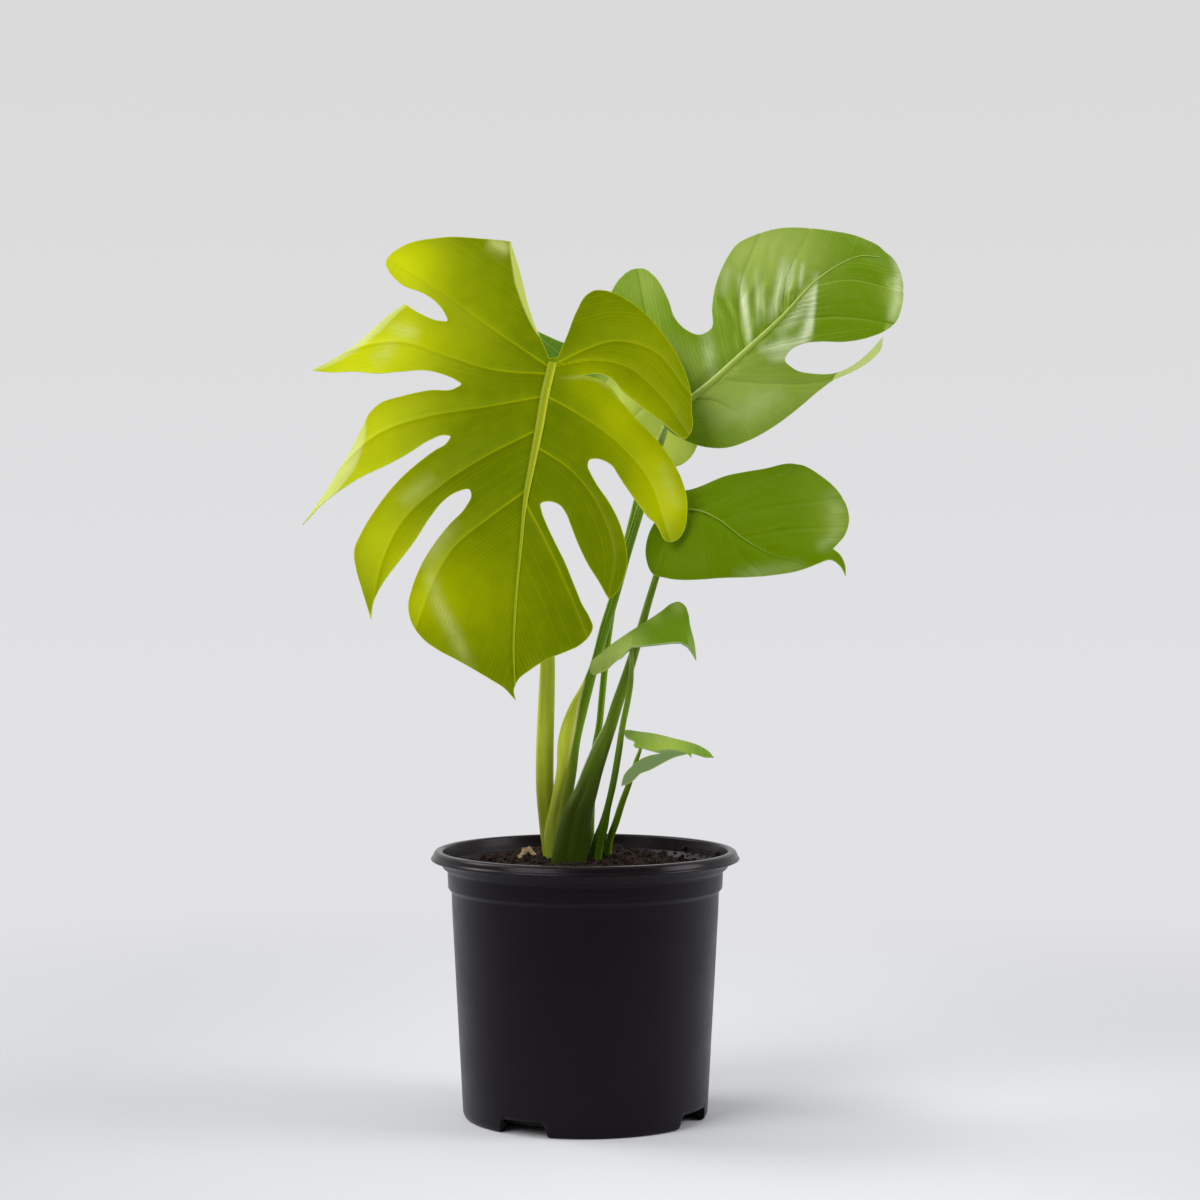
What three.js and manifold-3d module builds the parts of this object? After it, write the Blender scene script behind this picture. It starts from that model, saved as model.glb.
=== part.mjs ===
// A young monstera in a black nursery pot: pot, potting soil, a chip of bark, six leaf stalks and
// six leaf blades. Millimetres, +Z up, the front along -Y. The origin is the middle of the pot's
// base, on the surface that it stands on.
import * as THREE from 'three';
import { mergeVertices } from 'three/addons/utils/BufferGeometryUtils.js';
import Module from 'manifold-3d';

const wasm = await Module();
wasm.setup();

// ---- driving dimensions -------------------------------------------------------------------
const POT_HEIGHT = 219;
const LIP_RADIUS = 127;
const MOUTH_RADIUS = 118;
const BAND_RADIUS = 113.2;
const BODY_TOP_RADIUS = 110;
const BASE_RADIUS = 100.8;
const WALL = 2.2;
const PAD_RADIUS = 30;
const FLOOR_LIFT = 6;
const FOOT_INNER_RADIUS = 92;
const NOTCH_HEIGHT = 9.5;
const NOTCH_ANGLES = [-120, -28, 60, 150];
const NOTCH_HALF_ANGLE = 13;
const NOTCH_REACH = 6;
const NOTCH_BELOW = 2;
const POT_SEGMENTS = 44;

const SEAT_GAP = 0.35;
const SOIL_EDGE_HEIGHT = 202;
const SOIL_MOUND = 9;
const SOIL_SLOPE = 0.12;
const SOIL_RINGS = 9;
const STALK_SIDES = 10;
const STALK_STEPS_PER_STATION = 1.2;
const BLADE_THICKNESS = 1.2;
const RIB_SIDES = 5;
const RIB_STEPS_PER_STATION = 2;
const RIB_PROUD = 0.8;
const RIB_TIP_RADIUS = 0.8;
const CHIP_PLACE = new THREE.Vector3(-50, 20, 211);
const CHIP_THICKNESS = 2.4;
const CHIP_BEVEL = 0.8;
const CHIP_PITCH = 0.7;
const CHIP_TURN = 0.35;

const MERGE_DISTANCE = 1e-4;
const GRID_MARGIN = 3.3;
const SLAB_DEPTH = 3;
const NORMAL_REACH = 0.6;

// The front view that the leaf outlines and stalk edges are given in: points in it are in steps
// of about 0.82 mm, seen from an eye in front of the pot, with x to the right and y down.
const EYE = new THREE.Vector3(12.1, -2372, 488);
const EYE_TILT = THREE.MathUtils.degToRad(1.54);
const VIEW_DISTANCE = 2890;
const VIEW_CENTRE = 600;
const STEP_SIZE = 0.823;

// ---- points of the front view -------------------------------------------------------------
/** The point that is seen at (x, y) in the front view, at the given depth (y) behind the axis. */
function seen(x, y, depth) {
  const right = (x - VIEW_CENTRE) / VIEW_DISTANCE;
  const up = (VIEW_CENTRE - y) / VIEW_DISTANCE;
  const forward = Math.cos(EYE_TILT) + up * Math.sin(EYE_TILT);
  const rise = up * Math.cos(EYE_TILT) - Math.sin(EYE_TILT);
  const reach = (depth - EYE.y) / forward;
  return new THREE.Vector3(EYE.x + right * reach, depth, EYE.z + rise * reach);
}

// ---- solids -------------------------------------------------------------------------------
/** The geometry with its vertices merged, no empty triangles and its faces outwards. */
function closed(geometry) {
  geometry.deleteAttribute('normal');
  geometry.deleteAttribute('uv');
  const merged = mergeVertices(geometry, MERGE_DISTANCE);
  const index = merged.getIndex().array;
  const kept = [];
  for (let i = 0; i < index.length; i += 3) {
    const [a, b, c] = index.slice(i, i + 3);
    if (a !== b && b !== c && c !== a) kept.push(a, b, c);
  }
  if (signedVolume(merged.getAttribute('position'), kept) < 0) kept.reverse();
  merged.setIndex(kept);
  return merged;
}

function signedVolume(position, index) {
  const [a, b, c] = [new THREE.Vector3(), new THREE.Vector3(), new THREE.Vector3()];
  let volume = 0;
  for (let i = 0; i < index.length; i += 3) {
    a.fromBufferAttribute(position, index[i]);
    b.fromBufferAttribute(position, index[i + 1]);
    c.fromBufferAttribute(position, index[i + 2]);
    volume += a.dot(b.cross(c)) / 6;
  }
  return volume;
}

function toSolid(geometry, faceID) {
  const part = closed(geometry);
  const vertProperties = new Float32Array(part.getAttribute('position').array);
  const triVerts = new Uint32Array(part.getIndex().array);
  const mesh = { numProp: 3, vertProperties, triVerts };
  if (faceID) mesh.faceID = Uint32Array.from({ length: triVerts.length / 3 }, (_, i) => i);
  return new wasm.Manifold(new wasm.Mesh(mesh));
}

function toGeometry(solid) {
  const mesh = solid.getMesh();
  const geometry = new THREE.BufferGeometry();
  geometry.setAttribute('position', new THREE.BufferAttribute(mesh.vertProperties, mesh.numProp));
  geometry.setIndex(new THREE.BufferAttribute(mesh.triVerts, 1));
  return geometry;
}

/** A tube through stations {point, across, deep}: half its width along guide, and half its depth. */
function tube(stations, sides, steps, guide, spare = 0) {
  const path = new THREE.CatmullRomCurve3(stations.map((s) => s.point));
  const sizes = new THREE.CatmullRomCurve3(stations.map((s) => new THREE.Vector3(s.across, s.deep, 0)));
  const geometry = new THREE.CylinderGeometry(1, 1, 1, sides, steps);
  const position = geometry.getAttribute('position');
  for (let i = 0; i < position.count; i++) {
    const along = THREE.MathUtils.clamp(position.getY(i) + 0.5, 0, 1);
    const tangent = path.getTangent(along);
    const side = guide.clone().addScaledVector(tangent, -guide.dot(tangent)).normalize();
    const front = tangent.clone().cross(side);
    const size = sizes.getPoint(along);
    const point = path.getPoint(along);
    point.addScaledVector(side, position.getX(i) * (size.x + spare));
    point.addScaledVector(front, position.getZ(i) * (size.y + spare));
    if (along === 0) point.addScaledVector(tangent, -spare);
    if (along === 1) point.addScaledVector(tangent, spare);
    position.setXYZ(i, point.x, point.y, point.z);
  }
  return geometry;
}

// ---- pot ----------------------------------------------------------------------------------
function potProfile() {
  const floor = FLOOR_LIFT + WALL;
  return [
    [0, 0], [PAD_RADIUS, 0], [PAD_RADIUS + 3, FLOOR_LIFT], [FOOT_INNER_RADIUS, FLOOR_LIFT],
    [FOOT_INNER_RADIUS + 2, 0], [BASE_RADIUS - 3.5, 0], [BASE_RADIUS - 1, 1.2], [BASE_RADIUS, 4.5],
    [BODY_TOP_RADIUS - 0.6, 168], [BODY_TOP_RADIUS, 185], [BAND_RADIUS - 0.4, 188.5],
    [BAND_RADIUS, 200.5], [MOUTH_RADIUS, 204.4], [MOUTH_RADIUS + 1, 207.2],
    [LIP_RADIUS - 0.8, 209], [LIP_RADIUS, 211.5], [LIP_RADIUS - 1.4, 215.2],
    [LIP_RADIUS - 4.6, POT_HEIGHT - 0.9], [MOUTH_RADIUS + 1.2, POT_HEIGHT],
    [MOUTH_RADIUS - 0.6, POT_HEIGHT - 1], [MOUTH_RADIUS - WALL, 207.4],
    [BAND_RADIUS - WALL, 203], [BAND_RADIUS - WALL - 0.4, 190.3],
    [BODY_TOP_RADIUS - WALL, 186.2], [BODY_TOP_RADIUS - 0.6 - WALL, 168],
    [BASE_RADIUS - WALL, floor + 2.6], [BASE_RADIUS - WALL - 2.4, floor],
    [PAD_RADIUS + 2, floor], [PAD_RADIUS - 1, WALL], [0, WALL],
  ];
}

function lathe(profile, segments) {
  const geometry = new THREE.LatheGeometry(profile.map(([r, z]) => new THREE.Vector2(r, z)), segments);
  return geometry.rotateX(Math.PI / 2);
}

/** A drainage notch: a wedge through the foot ring, the corner and the edge of the floor. */
function notchSolid(angle) {
  const from = THREE.MathUtils.degToRad(angle - NOTCH_HALF_ANGLE);
  const to = THREE.MathUtils.degToRad(angle + NOTCH_HALF_ANGLE);
  const wedge = new THREE.Shape();
  wedge.absarc(0, 0, BASE_RADIUS + NOTCH_REACH, from, to, false);
  wedge.absarc(0, 0, FOOT_INNER_RADIUS - NOTCH_REACH, to, from, true);
  const depth = NOTCH_HEIGHT + NOTCH_BELOW;
  const geometry = new THREE.ExtrudeGeometry(wedge, { depth, bevelEnabled: false, curveSegments: 4 });
  return toSolid(geometry.translate(0, 0, -NOTCH_BELOW));
}

function potGeometry() {
  let pot = toSolid(lathe(potProfile(), POT_SEGMENTS));
  for (const angle of NOTCH_ANGLES) pot = pot.subtract(notchSolid(angle));
  return toGeometry(pot);
}

// ---- leaf stalks --------------------------------------------------------------------------
// Stations from the soil up: [x, y] in the front view, depth, and half the width across and
// through. The wide low stations are the sheath that each stalk grows out of.
const STALKS = {
  stalk_front: [
    [553, 905, 17, 7, 5.5], [552, 862, 17, 7, 6], [548, 825, 17, 7.3, 6.4], [545, 788, 16, 7.4, 6.4],
    [545, 745, 15, 7.3, 6.2], [546.2, 707, 14, 6.9, 6], [547.4, 668, 13, 6.3, 5.7], [546.5, 620, 13, 5.8, 5.4],
    [541.5, 560, 13, 5.3, 5.1], [535.5, 525, 13, 5.1, 5], [533, 490, 13.5, 5, 4.9], [537, 440, 14.5, 4.8, 4.7],
    [546, 400, 15, 4.5, 4.5], [551, 380, 13.5, 4.4, 4.4], [552.3, 370, 8.5, 4.1, 4.1], [552.3, 364, 2.2, 3.8, 3.8],
  ],
  stalk_upper: [
    [560, 905, 3, 10, 5], [559, 862, 3, 10.3, 5.4], [557, 838, 3.5, 10.8, 5.4], [561, 805, 5, 8.9, 5],
    [566.5, 771, 7, 8.4, 4.8], [569.5, 739, 9, 9.2, 4.6], [579, 707, 12, 7.6, 4.2], [585.5, 691, 13, 5.6, 4],
    [591, 676, 14, 4.2, 4], [606, 624, 19, 4.2, 4], [613.5, 600, 22, 4, 3.9], [627, 553, 27, 3.7, 3.6],
    [641.5, 506, 34, 3.5, 3.4], [652.5, 470, 41, 3.4, 3.3], [660, 443, 48, 3.3, 3.2], [665.5, 428, 51.5, 3.1, 3.1],
    [669.5, 418, 51.5, 2.9, 2.9], [671.5, 412, 48.7, 2.6, 2.6],
  ],
  stalk_middle: [
    [569, 905, -10, 12.5, 5.4], [569, 862, -10, 14.4, 5.8], [574.5, 830, -10, 13.6, 5.4],
    [579, 809, -10, 11.6, 5.2], [585.5, 793, -9.5, 9.6, 5], [592.6, 771, -9, 8.3, 4.8],
    [600.7, 749, -8.5, 7.1, 4.6], [610, 727, -8, 5.2, 4.3], [616.9, 705, -8, 4.8, 4.1],
    [624.4, 683, -7, 4.4, 3.9], [632.2, 659, -6, 4, 3.7], [648.5, 602, -4, 3, 3], [655.2, 580, -3, 2.8, 2.8],
    [665, 548, 1, 2.7, 2.7], [674, 525, 5, 2.6, 2.6], [679.5, 514, 6, 2.5, 2.5], [682.7, 509, 2.3, 2.3, 2.3],
  ],
  stalk_back: [
    [590, 905, 14, 3.3, 3.2], [590, 850, 14, 3.3, 3.2], [591.5, 800, 15, 3.1, 3],
    [595.5, 746, 18, 2.9, 2.9], [599, 727, 20, 2.8, 2.8], [602, 697, 23, 2.8, 2.8], [604.5, 671, 26, 2.8, 2.8],
    [608, 640, 30, 2.7, 2.7], [612, 612, 34, 2.7, 2.7], [621, 565, 43, 2.6, 2.6], [633, 515, 55, 2.5, 2.5],
    [643, 475, 66, 2.4, 2.4], [648.5, 456, 72, 2.3, 2.3], [651, 447, 78, 2.2, 2.2],
  ],
  stalk_small: [
    [595, 905, 2, 5, 3.8], [595.2, 858, 2, 5.7, 4], [598, 842, 0.5, 5.2, 3.8], [603, 827, -2, 4.2, 3.4],
    [607.3, 809, -5, 2.9, 2.8], [612.8, 785.4, -8, 2.8, 2.8], [619, 750, -12, 2.7, 2.6],
    [622.5, 726.7, -16, 2.5, 2.5], [628.4, 697.4, -21, 2.4, 2.3], [630.8, 682.7, -23, 2.2, 2.2],
    [631.3, 668, -26, 2, 2], [631.4, 657, -28.5, 1.8, 1.8], [631.3, 649.8, -30, 1.7, 1.7],
  ],
  stalk_lowest: [
    [608.5, 905, 12, 2.9, 2.9], [608, 858, 11, 3, 3], [609.5, 841, 8, 3, 3], [616, 822, 2, 2.9, 2.9],
    [622, 803, -5, 2.7, 2.7], [628.5, 785.4, -12, 2.4, 2.4], [633, 772, -17, 2.1, 2.1],
    [636.4, 760.5, -21, 1.8, 1.8], [639, 753.5, -24, 1.5, 1.5], [640.6, 748.6, -26.5, 1.4, 1.4],
  ],
};

function stalkTube(name, spare) {
  const stations = STALKS[name].map(([x, y, depth, across, deep]) => ({ point: seen(x, y, depth), across, deep }));
  const steps = Math.round(stations.length * STALK_STEPS_PER_STATION);
  return tube(stations, STALK_SIDES, steps, new THREE.Vector3(1, 0, 0), spare);
}

// ---- leaf blades --------------------------------------------------------------------------
// Outlines run round each blade from the notch at its stalk, in the front view. A point marked
// TIP is a sharp corner, and the others lie on smooth curves. ribs are the midribs, base first.
// depth, lean and bow place the midrib's line from front to back, and left and right (seen
// along the midrib from its base) say how each half rises from it and droops. turned lists the
// stretches of edge that roll back, as [x, y, x, y, width, drop].
const TIP = 1;
const LEAVES = {
  leaf_front: {
    colour: '#94a607', grid: 18,
    base: [552, 363], toward: [516, 702], depth: 0, lean: -0.42, bow: 0.0005, backBow: 0.0008,
    left: { rise: -0.1, droop: 0.0022 }, right: { rise: -0.12, droop: 0.002 },
    turned: [[511, 241, 531, 318, 9, 9], [405, 306, 316, 370, 8, 7], [366, 424, 304, 524, 12, 14]],
    rib: [[552, 363], [543, 420], [532, 470], [524, 540], [518, 620], [515, 690]], ribRadius: 2.6,
    outline: [
      [549, 358, TIP], [540, 335], [530, 307], [520, 270], [511, 241, TIP], [495, 239], [470, 237],
      [440, 237], [415, 241], [400, 248], [389, 257], [386, 264], [390, 273], [400, 283], [425, 294],
      [437, 303], [445, 314], [447, 320], [440, 320], [420, 313], [405, 306, TIP], [395, 311], [375, 330],
      [345, 352], [313, 371, TIP], [330, 372], [355, 371], [380, 373], [400, 371], [425, 370],
      [442, 374], [456, 380], [461, 384], [455, 388], [430, 390], [400, 396], [380, 403], [370, 412],
      [364, 430], [350, 460], [335, 480], [320, 503], [303, 526, TIP], [325, 502], [345, 487],
      [365, 475], [390, 463], [410, 452], [430, 440], [443, 435], [450, 436], [447, 442], [435, 450],
      [420, 461], [405, 474], [390, 490], [375, 510], [362, 530], [354, 550], [356, 570], [362, 590],
      [371, 620, TIP], [373, 605], [377, 594], [385, 580], [400, 560], [415, 540], [430, 517], [444, 500],
      [456, 492], [470, 490], [471, 494], [465, 507], [450, 523], [435, 542], [420, 567], [411, 590],
      [408, 603], [411, 621], [422, 638], [438, 650], [455, 659], [473, 669], [490, 679], [504, 688], [516, 701, TIP],
      [514, 690], [518, 680], [530, 670], [548, 659], [565, 652], [580, 645], [590, 635], [593, 627],
      [590, 618], [582, 604], [575, 587], [565, 562], [555, 542], [547, 525], [542, 512], [541, 503],
      [547, 501], [554, 502], [560, 505], [566, 513], [571, 525], [578, 543], [588, 564], [598, 580],
      [609, 600, TIP], [617, 592], [623, 580], [627, 562], [626, 546], [618, 519], [608, 500], [597, 484],
      [591, 473], [588, 465], [590, 459], [596, 458], [604, 460], [612, 465], [618, 474], [625, 485],
      [641, 508], [649, 518], [655, 523], [660, 531], [664, 539], [669, 542], [677, 540], [684, 531],
      [687, 515], [687, 494], [682, 478], [674, 463], [658, 441], [636, 418],
      [622, 402], [612, 388], [600, 379], [583, 375, TIP], [598, 373], [610, 377], [623, 391],
      [640, 405], [661, 421], [675, 433], [685, 439], [691, 432], [692, 410], [689, 385], [680, 360],
      [665, 335], [645, 312], [622, 296], [605, 290], [594, 290], [586, 295], [577, 310], [567, 335],
      [558, 357, TIP],
    ],
  },
  leaf_upper: {
    colour: '#6f9a2c', grid: 18,
    base: [672, 411], toward: [850, 250], depth: 45, lean: 0, bow: 0.0008, backBow: 0.0008,
    left: { rise: 0.42, droop: 0.0011 }, right: { rise: -0.33, droop: 0.0013 },
    turned: [[880, 246, 903, 285, 16, 12], [903, 285, 894, 324, 16, 12], [845, 371, 884, 338, 9, -6]],
    rib: [[672, 411], [693, 397], [746, 351], [782, 317], [819, 278], [838, 265], [860, 256]], ribRadius: 2,
    outline: [
      [668, 407, TIP], [640, 388], [615, 360], [604, 325], [611, 293], [621, 278], [632, 270], [644, 269],
      [654, 276], [668, 299], [675, 318], [685, 329], [700, 335], [711, 329], [712, 308], [715, 288],
      [725, 263], [738, 244], [755, 235], [780, 229], [806, 228], [835, 232], [858, 237], [880, 247],
      [896, 263], [903, 285], [902, 305], [895, 323], [885, 331], [870, 337], [845, 342], [820, 342],
      [803, 344], [790, 351], [785, 360], [794, 369], [815, 374], [835, 373], [850, 367], [866, 355],
      [883, 337, TIP], [881, 349], [870, 361], [853, 371], [837, 378], [820, 390], [800, 407], [775, 426],
      [750, 440], [725, 448], [700, 446], [682, 439], [667, 429], [661, 419],
    ],
  },
  leaf_middle: {
    colour: '#5c8a0a', grid: 18,
    base: [683, 509], toward: [830, 560], depth: 0, lean: -0.15, bow: 0, backBow: 0,
    left: { rise: 0.85, droop: 0.002 }, right: { rise: -0.7, droop: 0.004 }, turned: [],
    rib: [[683, 509], [703, 512], [719, 520], [744, 539], [774, 555], [800, 561], [825, 559]], ribRadius: 1.7,
    outline: [
      [679, 508, TIP], [665, 505], [661, 498], [672, 492], [688, 490], [727, 476], [768, 468], [785, 464],
      [797, 464], [823, 478], [838, 492], [847, 508], [849, 521], [845, 535], [833, 549, TIP], [840, 555],
      [845, 565], [846, 576, TIP], [840, 566], [831, 560], [819, 563], [801, 570], [774, 575],
      [723, 578], [666, 578], [653, 574], [646, 558], [647, 540], [656, 521],
    ],
  },
  leaf_back: {
    colour: '#9dbb4a', grid: 18,
    base: [651, 446], toward: [520, 322], depth: 80, lean: 0.45, bow: 0, backBow: -0.001,
    left: { rise: 0.1, droop: -0.002 }, right: { rise: 0.1, droop: -0.002 }, turned: [],
    rib: [[651, 446], [630, 415], [600, 385], [562, 355], [530, 330]], ribRadius: -1.6,
    outline: [
      [651, 444, TIP], [660, 458], [676, 466], [690, 458], [697, 446], [698, 425], [685, 392], [660, 366],
      [630, 352], [600, 346], [575, 345], [562, 342], [546, 335], [520, 322, TIP], [532, 352], [552, 392],
      [575, 425], [600, 450], [622, 462], [640, 460],
    ],
  },
  leaf_small: {
    colour: '#7cab3f', grid: 12,
    base: [631, 647], toward: [700, 647], depth: -30, lean: 0.05, bow: 0, backBow: 0,
    left: { rise: 0.6, droop: 0.003 }, right: { folded: true }, turned: [],
    rib: [
      [590, 675], [607, 669], [622, 656], [631, 647], [650, 645], [672, 642.5], [681, 642.5], [688, 646.5],
      [692.5, 652.5], [697, 660],
    ],
    outline: [
      [628.5, 649, TIP], [626, 653], [622, 657], [615, 661], [607, 669], [599, 674], [591, 673], [590, 664],
      [601, 653], [625, 635], [650, 619], [662, 611], [671, 604], [679, 602], [685, 606], [688, 613],
      [690, 625], [694, 641], [697, 660, TIP], [690, 671], [672, 684], [650, 691], [630, 692], [612, 690],
      [605, 684], [610, 676], [621, 669],
    ],
  },
  leaf_lowest: {
    colour: '#86ab3f', grid: 10,
    base: [641, 747], toward: [714, 757], depth: -27, lean: 0, bow: 0, backBow: 0,
    left: { rise: 1.9, droop: 0.01 }, right: { rise: -0.7, droop: 0.004 }, turned: [],
    rib: [[641, 747], [661, 752], [690, 752], [714, 757]],
    outline: [
      [661, 753, TIP], [650, 750], [641, 747], [634, 742], [626, 737], [624, 732], [642, 732], [676, 739], [702, 747],
      [710, 752], [714, 757, TIP], [706, 757], [696, 754], [684, 753], [675, 757], [663, 763], [650, 770],
      [640, 774], [634, 780], [628, 784], [621, 786, TIP], [624, 775], [632, 766], [641, 759], [651, 755],
    ],
  },
};

/** Where (x, y) lies along the leaf's line and across it from the midrib, in millimetres. */
function alongAcross(leaf, x, y) {
  const [bx, by] = leaf.base;
  const [tx, ty] = leaf.toward;
  const length = Math.hypot(tx - bx, ty - by);
  const [dx, dy] = [(tx - bx) / length, (ty - by) / length];
  const along = ((x - bx) * dx + (y - by) * dy) * STEP_SIZE;
  const across = ((x - bx) * dy - (y - by) * dx) * STEP_SIZE;
  return [along, across];
}

/** How far across the leaf's line its midrib lies, at a place along it. */
function ribAcross(leaf, along) {
  const ribs = leaf.rib.map(([x, y]) => alongAcross(leaf, x, y));
  const last = ribs.length - 1;
  if (along <= ribs[0][0]) return ribs[0][1];
  for (let i = 0; i < last; i++) {
    const [from, to] = [ribs[i], ribs[i + 1]];
    if (along <= to[0]) return THREE.MathUtils.mapLinear(along, from[0], to[0], from[1], to[1]);
  }
  return ribs[last][1];
}

/** How far (x, y) is from a stretch of edge. */
function edgeDistance([x1, y1, x2, y2], x, y) {
  const [dx, dy] = [x2 - x1, y2 - y1];
  const share = THREE.MathUtils.clamp(((x - x1) * dx + (y - y1) * dy) / (dx * dx + dy * dy), 0, 1);
  return Math.hypot(x - x1 - share * dx, y - y1 - share * dy);
}

/** The blade's middle surface: the point of the leaf that is seen at (x, y). */
function bladePoint(leaf, x, y) {
  const [along, across] = alongAcross(leaf, x, y);
  const fromRib = across - ribAcross(leaf, along);
  const bow = along > 0 ? leaf.bow : leaf.backBow;
  const midDepth = leaf.depth + leaf.lean * along + bow * along * along;
  const half = fromRib > 0 ? leaf.left : leaf.right;
  if (half.folded) return seen(x, y + fromRib / STEP_SIZE, midDepth + fromRib);
  let depth = midDepth + half.rise * Math.abs(fromRib) + half.droop * fromRib * fromRib;
  for (const edge of leaf.turned) {
    const [width, drop] = edge.slice(4);
    depth += drop * Math.max(0, 1 - edgeDistance(edge, x, y) / width) ** 1.5;
  }
  return seen(x, y, depth);
}

function bladeNormal(leaf, x, y) {
  const acrossX = bladePoint(leaf, x + NORMAL_REACH, y).sub(bladePoint(leaf, x - NORMAL_REACH, y));
  const acrossY = bladePoint(leaf, x, y + NORMAL_REACH).sub(bladePoint(leaf, x, y - NORMAL_REACH));
  return acrossY.cross(acrossX).normalize();
}

/** The outline's corner points joined by smooth curves through the points between them. */
function outlinePoints(outline) {
  const points = [];
  let run = [];
  for (const [x, y, tip] of [...outline, outline[0]]) {
    run.push(new THREE.Vector2(x, y));
    if (tip && run.length > 1) {
      points.push(...new THREE.SplineCurve(run).getPoints(Math.ceil(run.length)).slice(0, -1));
      run = [run.at(-1)];
    }
  }
  return points;
}

/** The outline cut into the triangles of a grid: its flat vertices and their triangles. */
function griddedOutline(leaf) {
  const points = outlinePoints(leaf.outline);
  const box = new THREE.Box2().setFromPoints(points).expandByScalar(GRID_MARGIN);
  const size = box.getSize(new THREE.Vector2());
  const middle = box.getCenter(new THREE.Vector2());
  const [columns, rows] = [Math.ceil(size.x / leaf.grid), Math.ceil(size.y / leaf.grid)];
  const grid = new THREE.BoxGeometry(size.x, size.y, 1, columns, rows, 1).translate(middle.x, middle.y, 0.5);
  const slab = new THREE.ExtrudeGeometry(new THREE.Shape(points), { depth: SLAB_DEPTH, bevelEnabled: false });
  slab.translate(0, 0, -SLAB_DEPTH / 3);
  const mesh = toSolid(grid, true).intersect(toSolid(slab)).getMesh();
  const position = new THREE.BufferAttribute(mesh.vertProperties, mesh.numProp);
  const triangles = [];
  for (let i = 0; i < mesh.triVerts.length; i += 3) {
    const corners = Array.from(mesh.triVerts.slice(i, i + 3));
    if (corners.every((corner) => position.getZ(corner) > 0.9)) triangles.push(corners);
  }
  return { position, triangles };
}

/** A sheet of even thickness: the gridded outline's triangles on both faces, and its edge. */
function bladeSheet(leaf) {
  const { position, triangles } = griddedOutline(leaf);
  const number = new Map();
  const [front, back] = [[], []];
  for (const corner of new Set(triangles.flat())) {
    const [x, y] = [position.getX(corner), position.getY(corner)];
    const normal = bladeNormal(leaf, x, y);
    number.set(corner, front.length);
    front.push(bladePoint(leaf, x, y).addScaledVector(normal, BLADE_THICKNESS / 2));
    back.push(bladePoint(leaf, x, y).addScaledVector(normal, -BLADE_THICKNESS / 2));
  }
  const edges = new Set();
  const index = [];
  for (const [a, b, c] of triangles.map((corners) => corners.map((corner) => number.get(corner)))) {
    index.push(a, b, c, c + front.length, b + front.length, a + front.length);
    for (const [from, to] of [[a, b], [b, c], [c, a]]) {
      if (!edges.delete(`${to} ${from}`)) edges.add(`${from} ${to}`);
    }
  }
  for (const edge of edges) {
    const [from, to] = edge.split(' ').map(Number);
    index.push(from, from + front.length, to + front.length, from, to + front.length, to);
  }
  const geometry = new THREE.BufferGeometry().setFromPoints([...front, ...back]);
  geometry.setIndex(index);
  return geometry;
}

/** The midrib: a tapering ridge along the blade's underside. */
function ribTube(leaf) {
  const last = leaf.rib.length - 1;
  const underside = Math.sign(leaf.ribRadius);
  const start = new THREE.Vector2(...leaf.rib[0]).lerp(new THREE.Vector2(...leaf.rib[1]), 0.3);
  const stations = [start.toArray(), ...leaf.rib.slice(1)].map(([x, y], i) => {
    const radius = THREE.MathUtils.lerp(Math.abs(leaf.ribRadius), RIB_TIP_RADIUS, i / last);
    const point = bladePoint(leaf, x, y).add(new THREE.Vector3(0, underside * RIB_PROUD, 0));
    return { point, across: radius, deep: radius };
  });
  return tube(stations, RIB_SIDES, stations.length * RIB_STEPS_PER_STATION, new THREE.Vector3(0, 1, 0));
}

function leafGeometry(leaf) {
  const sheet = toSolid(bladeSheet(leaf));
  return toGeometry(leaf.ribRadius ? sheet.add(toSolid(ribTube(leaf))) : sheet);
}

// ---- soil and bark ------------------------------------------------------------------------
/** The soil's surface: mounded round the stalks, with lumps a few millimetres high. */
function soilHeight(x, y) {
  const share = Math.min(1, Math.hypot(x, y) / BAND_RADIUS);
  const lumps = Math.sin(x * 0.19 + 1.3) * Math.cos(y * 0.23) + 0.6 * Math.sin(x * 0.41 - y * 0.37);
  return SOIL_EDGE_HEIGHT + (SOIL_MOUND + SOIL_SLOPE * y) * (1 - share * share) + lumps * (1 - share ** 4);
}

function soilBody() {
  const gap = SEAT_GAP;
  const floor = FLOOR_LIFT + WALL + gap;
  const side = [
    [0, WALL + gap], [PAD_RADIUS - 1 - gap, WALL + gap], [PAD_RADIUS + 1.6, floor],
    [BASE_RADIUS - WALL - 2.6, floor], [BASE_RADIUS - WALL - gap, floor + 2.6],
    [BODY_TOP_RADIUS - 0.6 - WALL - gap, 168], [BODY_TOP_RADIUS - WALL - gap, 186.2],
    [BAND_RADIUS - WALL - 0.4 - gap, 190.6],
  ];
  const edge = BAND_RADIUS - WALL - 0.3 - gap;
  for (let ring = SOIL_RINGS; ring >= 0; ring--) side.push([edge * ring / SOIL_RINGS, SOIL_EDGE_HEIGHT]);
  const geometry = lathe(side, POT_SEGMENTS);
  const position = geometry.getAttribute('position');
  for (let i = 0; i < position.count; i++) {
    const onTop = i % side.length >= side.length - SOIL_RINGS - 1;
    if (onTop) position.setZ(i, soilHeight(position.getX(i), position.getY(i)));
  }
  return toSolid(geometry);
}

function chipGeometry(spare = 0) {
  const outline = [[-9, -4], [-3, -6.5], [6, -5], [9.5, 1], [4, 6.5], [-5, 5]];
  const shape = new THREE.Shape(outline.map(([x, y]) => new THREE.Vector2(x, y)));
  const bevel = { bevelThickness: CHIP_BEVEL + spare, bevelSize: spare, bevelSegments: 1 };
  const geometry = new THREE.ExtrudeGeometry(shape, { depth: CHIP_THICKNESS, ...bevel });
  geometry.rotateX(CHIP_PITCH).rotateZ(CHIP_TURN);
  return geometry.translate(CHIP_PLACE.x, CHIP_PLACE.y, CHIP_PLACE.z);
}

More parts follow.
